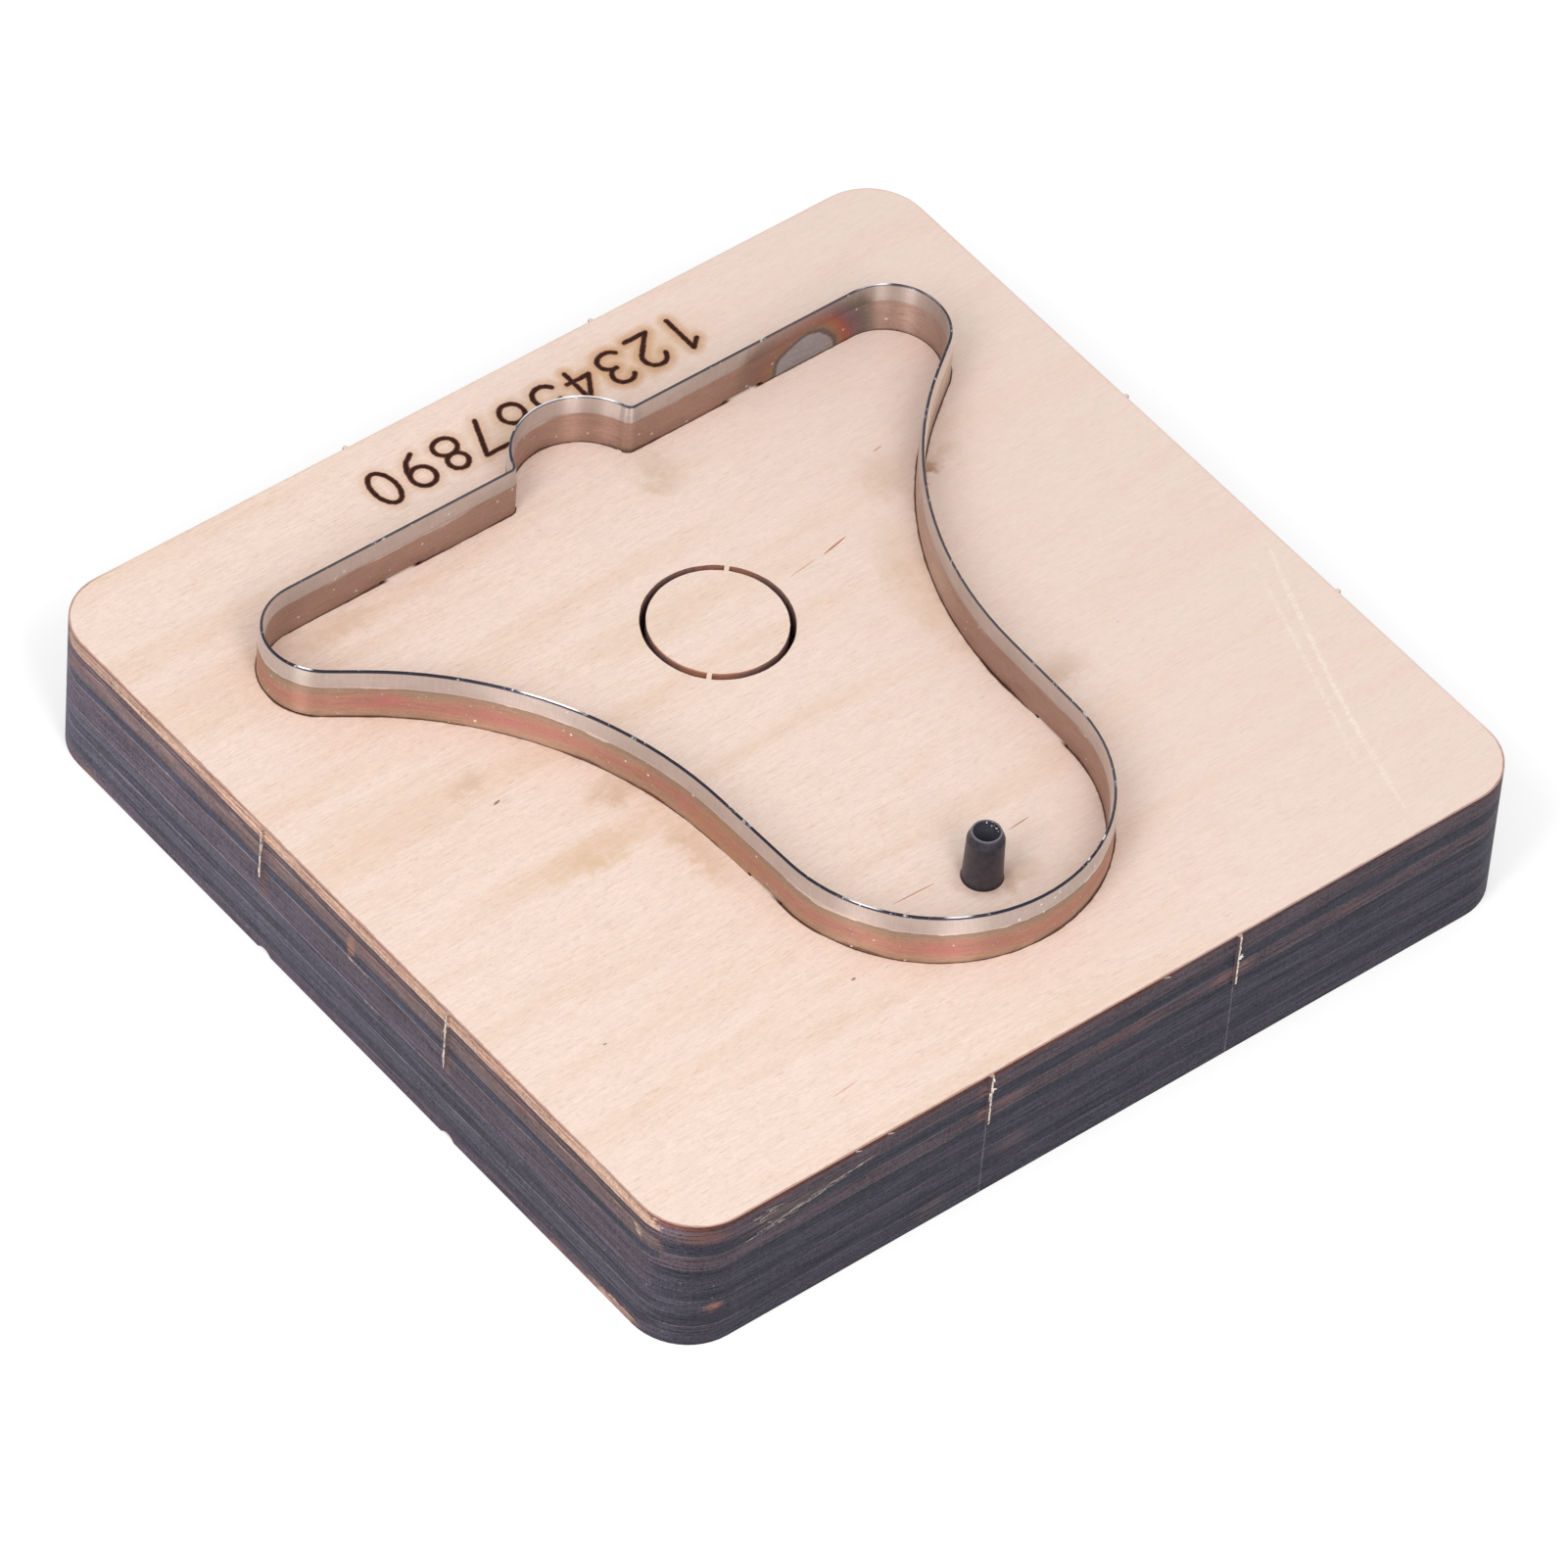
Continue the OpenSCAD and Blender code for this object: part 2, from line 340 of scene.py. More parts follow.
    def _specks(self) -> bpy.types.NodeTree:
        """Small round specks strewn over a surface."""
        takes = {"Place": "Vector", "Spacing": "Float", "Size": "Float", "Share": "Float"}
        tree, w, given = self._new("strewn_specks", takes, ("Mask",))
        scale = w.over(1.0, given["Spacing"])
        cells = w.add("TexVoronoi", {"Vector": given["Place"], "Scale": scale})
        reach = w.times(cells.outputs["Distance"], given["Spacing"])
        lot, other, _ = w.parts(cells.outputs["Color"])
        size = w.times(given["Size"], w.scaled(other, 0.8, 0.4))
        near = w.span(w.over(reach, size), 1.0, 0.5)
        mask = w.times(near, w.math("LESS_THAN", lot, given["Share"]))
        return self._close(tree, {"Mask": mask})

    def _outline(self) -> bpy.types.NodeTree:
        """The distance from the rule's middle line, and the same with its sign, positive outside."""
        tree, w, given = self._new("rule_outline", {"Place": "Vector"}, ("Distance", "Side"))
        x, y, _ = w.parts(given["Place"])
        flat = w.add("CombineXYZ", {0: w.positive(x), 1: y, 2: 0.0}).outputs[0]
        nearest: Feed = 50.0
        side: Feed = 50.0
        for step in OUTLINE:
            if isinstance(step, Bend):
                signed, within = self._from_bend(w, flat, step)
            else:
                signed, within = self._from_straight(w, flat, step)
            missed = w.times(w.minus(1.0, within), 50.0)
            reach = w.plus(w.positive(signed), missed)
            closer = w.math("LESS_THAN", reach, nearest)
            side = w.scaled(closer, w.minus(signed, side), side)
            nearest = w.least(reach, nearest)
        return self._close(tree, {"Distance": nearest, "Side": side})

    @staticmethod
    def _from_bend(w: Wiring, flat: Socket, step: Bend) -> tuple[Socket, Socket]:
        """The signed distance from a bend, and whether a place lies in its sector."""
        middle = math.radians((step.start + step.end) / 2)
        half = math.radians((step.end - step.start) / 2)
        offset = w.vector("SUBTRACT", flat, (*step.centre, 0.0)).outputs[0]
        length = w.vector("LENGTH", offset).outputs["Value"]
        heading = w.vector("NORMALIZE", offset).outputs[0]
        aim = w.vector("DOT_PRODUCT", heading, (math.sin(middle), math.cos(middle), 0.0)).outputs["Value"]
        sign = -1.0 if step.outward else 1.0
        signed = w.times(w.minus(length, step.radius), sign)
        return signed, w.math("GREATER_THAN", aim, math.cos(half) - 0.0005)

    @staticmethod
    def _from_straight(w: Wiring, flat: Socket, step: Straight) -> tuple[Socket, Socket]:
        """The signed distance from a straight, and whether a place lies beside it."""
        run = Vector(step.end) - Vector(step.start)
        along = run.normalized()
        middle = (Vector(step.start) + Vector(step.end)) / 2
        offset = w.vector("SUBTRACT", flat, (middle.x, middle.y, 0.0)).outputs[0]
        signed = w.vector("DOT_PRODUCT", offset, (-along.y, along.x, 0.0)).outputs["Value"]
        ahead = w.positive(w.vector("DOT_PRODUCT", offset, (along.x, along.y, 0.0)).outputs["Value"])
        return signed, w.math("LESS_THAN", ahead, run.length / 2 + 0.01)


@dataclass(frozen=True)
class StainOrPaintedLight:
    """A soft stain or tint, or a patch of painted highlight or painted light: its middle, its reach along each axis,
    its colour and how strong it is.
    """

    centre: Place
    radii: Place
    colour: Colour
    strength: float
    core: float = 0.1


@dataclass(frozen=True)
class Scratch:
    """A thin tapered streak from one place to another."""

    start: Place
    end: Place
    width: float
    colour: Colour
    strength: float


def on_top(x: float, y: float, across: float, along: float, colour: Colour, strength: float) -> StainOrPaintedLight:
    """A stain on the board's top face."""
    return StainOrPaintedLight((x, y, BOARD_TOP), (across, along, 2.0), colour, strength)


def on_left(y: float, z: float, along: float, up: float, colour: Colour, strength: float, core: float = 0.1) -> StainOrPaintedLight:
    """A glow on the board's left edge."""
    return StainOrPaintedLight((-BOARD_HALF[0], y, z), (2.5, along, up), colour, strength, core)


def on_front(x: float, z: float, across: float, up: float, colour: Colour, strength: float) -> StainOrPaintedLight:
    """A glow on the board's front edge."""
    return StainOrPaintedLight((x, -BOARD_HALF[1], z), (across, 2.5, up), colour, strength)


def scored(start: Spot, end: Spot, width: float, colour: Colour, strength: float) -> Scratch:
    """A streak on the board's top face."""
    return Scratch((*start, BOARD_TOP), (*end, BOARD_TOP), width, colour, strength)


@dataclass(frozen=True)
class Ply:
    """A band on the board's edge: where it starts below the top, and its colour."""

    depth: float
    colour: Colour


RUSSET = paint(134, 84, 76)
TAN = paint(216, 178, 156)
UMBER = paint(130, 110, 112)
HEATHER = paint(120, 104, 114)
PLUM = paint(106, 94, 106)
SLATE = paint(98, 94, 108)
INK = paint(84, 81, 95)
SOOT = paint(96, 80, 88)
ASH = paint(148, 138, 146)


def blank_material(name: str) -> tuple[bpy.types.Material, Wiring]:
    """A new material with an empty tree."""
    material = bpy.data.materials.new(name)
    material.use_nodes = True
    return material, Wiring(material.node_tree)


def surface(w: Wiring, feeds: Feeds) -> None:
    """Ends a material in one Principled BSDF with the given feeds."""
    shader = w.add("BsdfPrincipled", feeds)
    output = w.add("OutputMaterial", {})
    w.feed(output.inputs["Surface"], shader.outputs[0])


@dataclass(frozen=True)
class PlywoodFinish:
    """Birch plywood: a pale sanded veneer on the faces, and edges and slots charred by the laser, with painted shade on
    the edges and in the narrow gaps, painted light at the circular cut and a painted shadow round the punch.
    """

    effects: SharedEffects
    veneer: Colour = paint(245, 222, 208)
    tan: Colour = paint(236, 205, 182)
    rose: Colour = paint(236, 215, 205)
    pore: Colour = paint(214, 176, 148)
    # Char, also used as painted shade in the narrow gaps beside the rule and the punch.
    char_and_gap_shade: Colour = paint(46, 32, 30)
    scorch: Colour = paint(128, 78, 56)
    torn: Colour = paint(246, 230, 214)

    LEFT_PLIES = (
        Ply(0.0, RUSSET),
        Ply(0.16, TAN),
        Ply(1.72, SOOT),
        Ply(2.2, ASH),
        Ply(2.3, SOOT),
        Ply(2.7, UMBER),
        Ply(4.72, INK),
        Ply(6.0, ASH),
        Ply(6.15, PLUM),
        Ply(9.74, ASH),
        Ply(9.88, SLATE),
        Ply(11.4, INK),
        Ply(12.74, ASH),
        Ply(12.88, SLATE),
        Ply(14.9, INK),
        Ply(15.9, PLUM),
    )
    FRONT_PLIES = (
        Ply(0.0, RUSSET),
        Ply(0.6, HEATHER),
        Ply(2.75, INK),
        Ply(4.44, ASH),
        Ply(4.53, HEATHER),
        Ply(6.4, ASH),
        Ply(6.48, INK),
        Ply(7.85, SLATE),
        Ply(9.85, INK),
        Ply(11.08, ASH),
        Ply(11.16, SLATE),
        Ply(13.05, INK),
        Ply(14.74, ASH),
        Ply(14.82, SLATE),
        Ply(17.15, INK),
    )
    STAINS = (
        on_top(19.2, 0.0, 4.5, 10.0, paint(216, 184, 148), 0.32),
        on_top(21.5, 7.0, 5.0, 8.0, paint(212, 180, 148), 0.3),
        on_top(26.5, 17.5, 4.5, 5.5, paint(206, 174, 146), 0.3),
        on_top(30.9, 15.4, 1.7, 1.3, paint(176, 126, 94), 0.85),
        on_top(33.0, 16.2, 4.0, 1.5, paint(210, 178, 150), 0.4),
        on_top(24.0, -14.0, 5.0, 3.2, paint(204, 172, 146), 0.42),
        on_top(21.0, -19.5, 3.0, 5.5, paint(208, 182, 158), 0.4),
        on_top(-23.0, -1.0, 4.0, 3.0, paint(206, 172, 138), 0.5),
        on_top(-29.0, -6.5, 10.0, 3.0, paint(222, 184, 140), 0.45),
        on_top(-21.0, -12.0, 2.6, 8.0, paint(214, 178, 142), 0.5),
        on_top(-34.0, 8.0, 3.0, 2.0, paint(212, 184, 156), 0.45),
        on_top(-31.5, 32.5, 7.0, 2.2, paint(214, 184, 156), 0.4),
        on_top(8.0, 31.0, 4.0, 5.0, paint(206, 176, 150), 0.4),
        on_top(16.0, 45.0, 13.0, 5.5, paint(216, 178, 138), 0.5),
        on_top(1.0, 43.5, 9.0, 5.0, paint(214, 180, 142), 0.45),
        on_top(3.0, -33.0, 4.5, 3.0, paint(204, 172, 148), 0.5),
        on_top(-6.0, 14.5, 16.0, 4.0, paint(228, 196, 168), 0.25),
        on_top(-44.0, 9.0, 14.0, 5.0, paint(230, 198, 168), 0.22),
    )
    STREAKS = (
        scored((14.6, 12.2), (18.0, 12.9), 0.16, paint(176, 106, 76), 0.9),
        scored((9.8, 11.7), (13.6, 12.2), 0.14, paint(206, 156, 124), 0.6),
        scored((-9.6, -29.0), (-4.4, -29.2), 0.13, paint(196, 132, 106), 0.8),
        scored((6.2, -27.9), (8.8, -27.7), 0.13, paint(186, 120, 92), 0.8),
        scored((-30.2, -45.3), (-26.8, -45.0), 0.12, paint(206, 150, 122), 0.6),
        scored((-33.6, 4.3), (-32.7, 4.5), 0.22, paint(120, 92, 78), 0.8),
        scored((-19.2, -34.5), (-18.7, -34.4), 0.22, paint(130, 100, 84), 0.8),
        scored((-44.3, -27.0), (-43.8, -27.0), 0.14, paint(120, 90, 74), 0.7),
        scored((27.8, 20.6), (29.0, 20.8), 0.16, paint(196, 140, 108), 0.7),
    )
    CREASES: tuple[tuple[Spot, ...], ...] = (
        ((52.5, -12.4), (50.0, -18.4), (46.8, -27.0), (44.4, -33.9), (41.9, -41.4), (40.0, -49.0)),
        ((49.6, -14.0), (47.4, -20.8), (45.2, -27.0), (42.1, -36.3), (39.5, -43.5)),
    )
    GLOWS = (
        on_left(14.6, 10.0, 0.8, 3.4, paint(150, 112, 94), 0.7, 0.2),
        on_left(-15.4, 10.4, 0.7, 3.2, paint(150, 112, 94), 0.6, 0.2),
        on_left(0.5, 12.9, 0.8, 2.3, paint(180, 134, 112), 0.95, 0.5),
        on_left(41.2, 10.2, 0.8, 0.6, paint(146, 118, 116), 0.7, 0.2),
        on_left(36.9, 10.4, 0.7, 0.8, paint(150, 116, 102), 0.6, 0.2),
        on_left(44.0, 0.3, 4.0, 0.9, paint(150, 118, 104), 0.6, 0.2),
        StainOrPaintedLight((-53.5, 44.5, 16.6), (3.0, 9.0, 1.2), paint(160, 130, 122), 0.65),
        StainOrPaintedLight((-53.5, 44.0, 13.6), (3.0, 7.0, 1.5), paint(124, 104, 108), 0.6),
        on_left(-42.5, 0.45, 5.2, 0.6, paint(214, 172, 152), 0.95, 0.4),
        on_left(-35.0, 0.3, 7.0, 0.5, paint(176, 132, 120), 0.8, 0.3),
        on_left(-45.3, 13.9, 0.7, 0.6, paint(232, 204, 180), 0.9, 0.3),
        on_front(-16.4, 12.0, 1.5, 1.1, paint(162, 122, 112), 0.8),
        on_front(-16.4, 15.4, 1.6, 1.2, paint(150, 108, 98), 0.8),
        on_front(-13.4, 12.0, 3.4, 1.0, paint(140, 104, 102), 0.6),
        on_front(16.9, 12.0, 1.9, 1.1, paint(156, 116, 108), 0.7),
        on_front(14.4, 12.0, 2.2, 1.1, paint(146, 106, 100), 0.7),
        on_front(2.0, 12.0, 6.0, 1.1, paint(136, 92, 92), 0.45),
        on_front(31.0, 11.9, 3.5, 1.1, paint(126, 98, 96), 0.5),
        StainOrPaintedLight((-49.3, -51.8, 5.3), (1.2, 2.5, 0.9), paint(158, 112, 98), 0.9, 0.2),
        StainOrPaintedLight((-50.6, -51.0, 16.0), (4.0, 3.0, 1.6), paint(134, 90, 78), 0.7),
        on_front(-42.0, 14.4, 8.0, 1.4, paint(128, 106, 100), 0.5),
        on_front(-12.0, 5.0, 3.5, 2.0, paint(104, 88, 92), 0.6),
        on_front(-22.0, 2.0, 3.0, 1.6, paint(112, 98, 98), 0.6),
    )

    def build(self) -> bpy.types.Material:
        """Builds the material.

        Returns:
            The finished plywood material.
        """
        material, w = blank_material("plywood")
        place = w.millimetres()
        x, y, _ = w.parts(place)
        _, _, rise = w.parts(w.add("TexCoord", {}).outputs["Normal"])
        level = w.span(w.positive(rise), 0.4, 0.6)
        grain = w.group(self.effects.grain, Place=place)
        veneer = self._veneer(w, place, grain)
        rim = self._rim(w, x, y)
        inner = w.span(rim, 3.0, 4.0)
        face = self._face_marks(w, place, veneer, rim)
        edge, relief = self._edges(w, place)
        walls = self._walls(w, place)
        sides = w.mix(inner, edge, walls)
        colour = w.mix(level, sides, face)
        wood_relief = w.scaled(grain.outputs["Pores"], -0.5, grain.outputs["Fibre"])
        height = w.scaled(w.minus(1.0, level), relief, w.times(wood_relief, 0.16))
        bump = w.add("Bump", {"Strength": 0.35, "Distance": 0.00012, "Height": height})
        rough = w.scaled(grain.outputs["Fibre"], 0.12, w.scaled(level, 0.1, 0.52))
        surface(w, {"Base Color": colour, "Roughness": rough, "Specular IOR Level": 0.1, "Normal": bump.outputs[0]})
        return material

    def _rim(self, w: Wiring, x: Socket, y: Socket) -> Socket:
        """How far a place lies inside the board's rounded outline, in millimetres."""
        across = w.minus(w.positive(x), BOARD_HALF[0] - BOARD_CORNER)
        along = w.minus(w.positive(y), BOARD_HALF[1] - BOARD_CORNER)
        corner = w.add("CombineXYZ", {0: w.most(across, 0.0), 1: w.most(along, 0.0), 2: 0.0})
        past = w.vector("LENGTH", corner.outputs[0]).outputs["Value"]
        within = w.least(w.most(across, along), 0.0)
        return w.minus(BOARD_CORNER, w.plus(past, within))

    def _veneer(self, w: Wiring, place: Socket, grain: bpy.types.Node) -> Socket:
        """The clean veneer with its bands, fibres and pores."""
        x, _, _ = w.parts(place)
        rosy = w.times(w.span(x, -20.0, 50.0), 0.55)
        colour = w.mix(rosy, self.veneer, self.rose)
        banded = w.times(w.span(grain.outputs["Bands"], 0.46, 0.7), w.scaled(rosy, -0.6, 0.55))
        colour = w.mix(banded, colour, self.tan)
        colour = w.mix(w.times(w.span(grain.outputs["Figure"], 0.5, 0.72), 0.22), colour, self.tan)
        near = w.scaled(rosy, -0.9, 1.0)
        pores = w.times(grain.outputs["Pores"], w.times(near, 0.34))
        colour = w.mix(pores, colour, self.pore)
        tooth = w.drawn(place, (3.4, 9.0, 9.0), 1.0)
        uneven = w.plus(w.span(grain.outputs["Fibre"], 0.3, 0.7, 0.09), w.span(tooth, 0.3, 0.7, 0.06))
        mottle = w.drawn(place, (1.1, 1.7, 1.7), 4.0, 0.75)
        uneven = w.plus(uneven, w.span(mottle, 0.3, 0.7, 0.05))
        return w.shaded(colour, w.scaled(w.minus(uneven, 0.1), near, 1.0))

    def _face_marks(self, w: Wiring, place: Socket, veneer: Socket, rim: Socket) -> Socket:
        """Stains, streaks, the torn crease and every burnt line on the faces."""
        x, y, z = w.parts(place)
        ragged = w.noise(place, 0.55, 4.0, 0.65)
        drift = w.scaled(ragged, 5.0, -2.5)
        wandering = w.add("CombineXYZ", {0: w.plus(x, drift), 1: w.plus(y, drift), 2: z}).outputs[0]
        colour = veneer
        for mark in self.STAINS:
            mask = self.effects.patch_mask(w, wandering, mark)
            share = w.times(mask, w.times(ragged, 2.0 * mark.strength))
            colour = w.mix(w.add("Clamp", {0: share}).outputs[0], colour, mark.colour)
        for streak in self.STREAKS:
            mask = w.group(
                self.effects.streak, Place=place, Start=streak.start, End=streak.end, Width=streak.width
            )
            colour = w.mix(w.times(mask.outputs[0], streak.strength), colour, streak.colour)
        colour = self._crease(w, place, colour)
        specks = w.group(self.effects.specks, Place=place, Spacing=5.5, Size=0.13, Share=0.35)
        colour = w.mix(w.times(specks.outputs[0], 0.5), colour, paint(150, 116, 94))
        return self._burnt_lines(w, place, colour, rim, ragged)

    def _crease(self, w: Wiring, place: Socket, colour: Socket) -> Socket:
        """The two pale, broken lines of a crease in the veneer at the right."""
        broken = w.span(w.drawn(place, (1.3, 3.4, 1.0), 3.0, 0.7), 0.36, 0.62)
        wobble = w.vector("SUBTRACT", w.add("TexNoise", {"Vector": place, "Scale": 1.2}).outputs[1], (0.5, 0.5, 0.5))
        offset = w.add("VectorMath", {0: wobble.outputs[0], 3: 0.6}, operation="SCALE").outputs[0]
        shaken = w.vector("ADD", place, offset).outputs[0]
        for line, width, strength in zip(self.CREASES, (0.46, 0.4), (0.6, 0.34)):
            for a, b in zip(line, line[2:]):
                mask = w.group(
                    self.effects.streak, Place=shaken, Start=(*a, BOARD_TOP), End=(*b, BOARD_TOP), Width=width
                )
                share = w.times(w.times(mask.outputs[0], broken), strength)
                colour = w.mix(share, colour, paint(252, 236, 220))
        return colour

    def _burnt_lines(self, w: Wiring, place: Socket, colour: Socket, rim: Socket, ragged: Socket) -> Socket:
        """The burnt lines beside the rule, round the circular cut and the punch, and along the board's rim; the darkest
        lines beside the rule and the punch are partly painted shade of the narrow gaps, the circular cut's near side
        carries painted light, and a painted shadow lies round the punch's foot.
        """
        x, y, _ = w.parts(place)
        outline = w.group(self.effects.outline, Place=place)
        beside = w.minus(outline.outputs["Distance"], RULE_HALF)
        bridges: Feed = 0.0
        for centre, radii in (
            ((22.0, 35.17), (2.4, 1.5)),
            ((-22.0, 35.17), (2.4, 1.5)),
            ((18.35, -19.2), (1.5, 3.9)),
            ((-18.35, -17.2), (1.5, 5.8)),
        ):
            mask = self.effects.covered(w, place, (*centre, BOARD_TOP), (*radii, 3.0), 0.6)
            bridges = w.most(bridges, mask)
        open_line = w.minus(1.0, bridges)
        width = w.scaled(ragged, 0.22, -0.02)
        for centre, radii in (((18.9, -11.5), (2.0, 3.6)), ((-17.8, -25.5), (2.0, 3.2)), ((-42.4, 25.6), (2.6, 4.4))):
            mask = self.effects.covered(w, place, (*centre, BOARD_TOP), (*radii, 3.0), 0.5)
            width = w.scaled(mask, 0.12, width)
        smoke = w.times(w.span(beside, 1.0, 0.0), w.span(ragged, 0.4, 0.7, 0.35))
        colour = w.mix(w.times(smoke, open_line), colour, paint(206, 168, 140))
        brown = w.span(w.minus(beside, width), 0.12, 0.02)
        colour = w.mix(w.times(brown, w.times(open_line, 0.85)), colour, self.scorch)
        # The darkest line beside the rule: partly char, partly painted shade of the narrow gap between rule and board.
        dark = w.span(w.minus(beside, w.times(width, 0.6)), 0.06, 0.0)
        colour = w.mix(w.times(dark, open_line), colour, self.char_and_gap_shade)
        centred = w.vector("SUBTRACT", place, CIRCLE).outputs[0]
        ring = w.minus(w.vector("LENGTH", centred).outputs["Value"], CIRCLE_RADIUS)
        gap = w.minus(w.positive(ring), KERF_HALF)
        off_tie = w.vector("DOT_PRODUCT", w.vector("NORMALIZE", centred).outputs[0], (0.7071, 0.7071, 0.0))
        tie = w.span(w.positive(off_tie.outputs["Value"]), 0.99965, 0.99925)
        torn = w.times(w.scaled(ragged, -0.3, 0.15), 0.6)
        # Scorched red-brown rim round the circular cut. On the disc's side towards the front left it is painted wider
        # and lighter, as painted light of the lit wall of the cut.
        aim = w.vector("DOT_PRODUCT", w.vector("NORMALIZE", centred).outputs[0], (-0.76, -0.65, 0.0)).outputs["Value"]
        disc = w.times(w.math("LESS_THAN", ring, 0.0), w.span(aim, 0.35, 0.9))
        reach = w.scaled(disc, 0.2, 0.07)
        red = w.times(w.span(w.over(w.plus(gap, torn), reach), 1.0, 0.5), tie)
        colour = w.mix(w.times(red, 0.9), colour, w.mix(disc, paint(96, 60, 48), paint(172, 104, 78)))
        seat = w.vector("LENGTH", w.vector("SUBTRACT", place, (*PUNCH, BOARD_TOP)).outputs[0]).outputs["Value"]
        # The dark ring round the punch's foot: partly char, partly painted shade of the gap.
        colour = w.mix(w.span(seat, 2.26, 2.14), colour, self.char_and_gap_shade)
        shadow = w.times(w.span(seat, 3.9, 2.1), w.times(ragged, 0.6))
        colour = w.mix(shadow, colour, paint(168, 132, 112))
        fray = w.times(ragged, 0.28)
        singed = w.span(w.minus(rim, fray), 0.14, 0.0)
        nearer = w.most(w.span(x, -44.0, -50.0), w.span(y, -43.0, -49.0))
        colour = w.mix(w.times(singed, w.scaled(nearer, 0.55, 0.1)), colour, paint(150, 92, 76))
        return colour

    def _edges(self, w: Wiring, place: Socket) -> tuple[Socket, Socket]:
        """The plies on the board's edges, with the torn ties and painted shade.

        Args:
            w: the material's wiring.
            place: the place in millimetres.

        Returns:
            The colour and the height for the bump.
        """
        x, y, z = w.parts(place)
        lengthwise = w.add("CombineXYZ", {0: w.plus(x, y), 1: w.minus(x, y), 2: z}).outputs[0]
        sway = w.drawn(lengthwise, (0.05, 0.05, 0.12), 2.0)
        fine = w.drawn(lengthwise, (0.8, 0.8, 2.2), 4.0, 0.7)
        depth = w.minus(BOARD_TOP, z)
        shifted = w.scaled(sway, 0.3, w.scaled(fine, 0.26, w.minus(depth, 0.28)))
        share = w.over(shifted, BOARD_TOP)
        left = w.ramp(share, self._bands(self.LEFT_PLIES))
        front = w.ramp(share, self._bands(self.FRONT_PLIES))
        jagged = w.drawn(lengthwise, (0.5, 0.5, 1.4), 4.0, 0.75)
        turned = w.span(w.scaled(jagged, 2.6, w.positive(x)), 54.6, 55.1)
        colour = w.mix(turned, front, left)
        cooled = w.times(w.minus(1.0, turned), w.span(w.scaled(fine, 6.0, x), 8.0, 14.0))
        colour = w.mix(w.times(cooled, w.span(depth, 0.75, 0.1)), colour, PLUM)
        fibres = w.drawn(lengthwise, (0.09, 0.09, 4.6), 4.0, 0.72)
        mottle = w.drawn(lengthwise, (1.9, 1.9, 3.6), 4.0, 0.8)
        combing = w.drawn(lengthwise, (3.4, 3.4, 0.14), 2.0, 0.6)
        speckle = w.drawn(lengthwise, (3.6, 3.6, 7.0), 1.5, 0.7)
        light = w.plus(w.span(fibres, 0.32, 0.68, 1.0), w.span(mottle, 0.32, 0.68, 0.6))
        light = w.plus(light, w.plus(w.span(combing, 0.3, 0.7, 0.16), w.span(speckle, 0.32, 0.68, 0.6)))
        # Painted shade: the front and back faces are painted much darker than the left and right faces, and the lower
        # plies of the side faces darker towards the front.
        painted_side_slope = w.times(w.span(depth, 1.6, 2.0), w.scaled(y, 0.0035, -0.15))
        corner = w.span(w.positive(x), 50.0, 53.9)
        painted_face_shade = w.times(w.scaled(corner, w.plus(painted_side_slope, 0.55), 0.45), 0.86)
        colour = w.shaded(colour, w.times(light, painted_face_shade))
        rosy = w.drawn(lengthwise, (0.08, 0.08, 3.0), 4.0, 0.7)
        dark_ply = w.times(w.span(depth, 1.65, 1.8), w.span(depth, 2.7, 2.5, 0.8))
        pale = w.times(w.minus(w.span(depth, 4.7, 1.6), dark_ply), turned)
        colour = w.mix(w.times(w.span(rosy, 0.5, 0.6, 0.6), pale), colour, paint(170, 106, 98))
        bright = w.span(w.drawn(lengthwise, (0.1, 0.1, 4.6), 3.0, 0.7), 0.54, 0.62, 0.7)
        colour = w.mix(w.times(bright, pale), colour, paint(234, 202, 182))
        dashes = w.span(w.drawn(lengthwise, (0.45, 0.45, 7.0), 3.0, 0.7), 0.62, 0.72, 0.4)
        colour = w.mix(w.times(dashes, painted_face_shade), colour, paint(140, 128, 132))
        bare = w.span(w.drawn(lengthwise, (0.12, 0.12, 1.6), 4.0, 0.7), 0.56, 0.72, 0.4)
        colour = w.mix(w.times(bare, painted_face_shade), colour, paint(106, 82, 82))
        flecks = w.group(self.effects.specks, Place=place, Spacing=0.9, Size=0.12, Share=0.3)
        colour = w.mix(w.times(flecks.outputs[0], 0.5), colour, paint(176, 168, 176))
        torn = w.scaled(fine, 2.4, -1.2)
        frayed = w.add("CombineXYZ", {0: w.plus(x, torn), 1: w.plus(y, torn), 2: w.plus(z, torn)})
        for glow in self.GLOWS:
            mask = self.effects.patch_mask(w, frayed.outputs[0], glow)
            amount = w.times(mask, w.span(fibres, 0.38, 0.58, glow.strength))
            colour = w.mix(amount, colour, glow.colour)
        across = w.minus(w.positive(x), BOARD_HALF[0])
        along = w.minus(w.positive(y), BOARD_HALF[1])
        proud = w.most(across, along)
        beside = w.positive(w.minus(w.positive(x), FRONT_TIE))
        seam = w.times(w.span(beside, 0.14, 0.04), w.times(w.span(mottle, 0.4, 0.55, 0.6), w.span(depth, 6.0, 8.0)))
        colour = w.mix(w.times(seam, w.minus(1.0, turned)), colour, paint(134, 128, 138))
        colour = w.mix(w.span(proud, 0.03, 0.1, 0.6), colour, paint(104, 88, 88))
        off_left = w.positive(w.minus(w.positive(y), LEFT_TIE))
        upper, lower_tie = RIGHT_TIES
        off_right = w.positive(w.minus(w.positive(w.minus(y, (upper + lower_tie) / 2)), (upper - lower_tie) / 2))
        off_tie = w.least(beside, w.least(off_left, off_right))
        cream = w.times(w.span(w.scaled(fine, 0.3, proud), 0.22, 0.34), w.span(mottle, 0.42, 0.5))
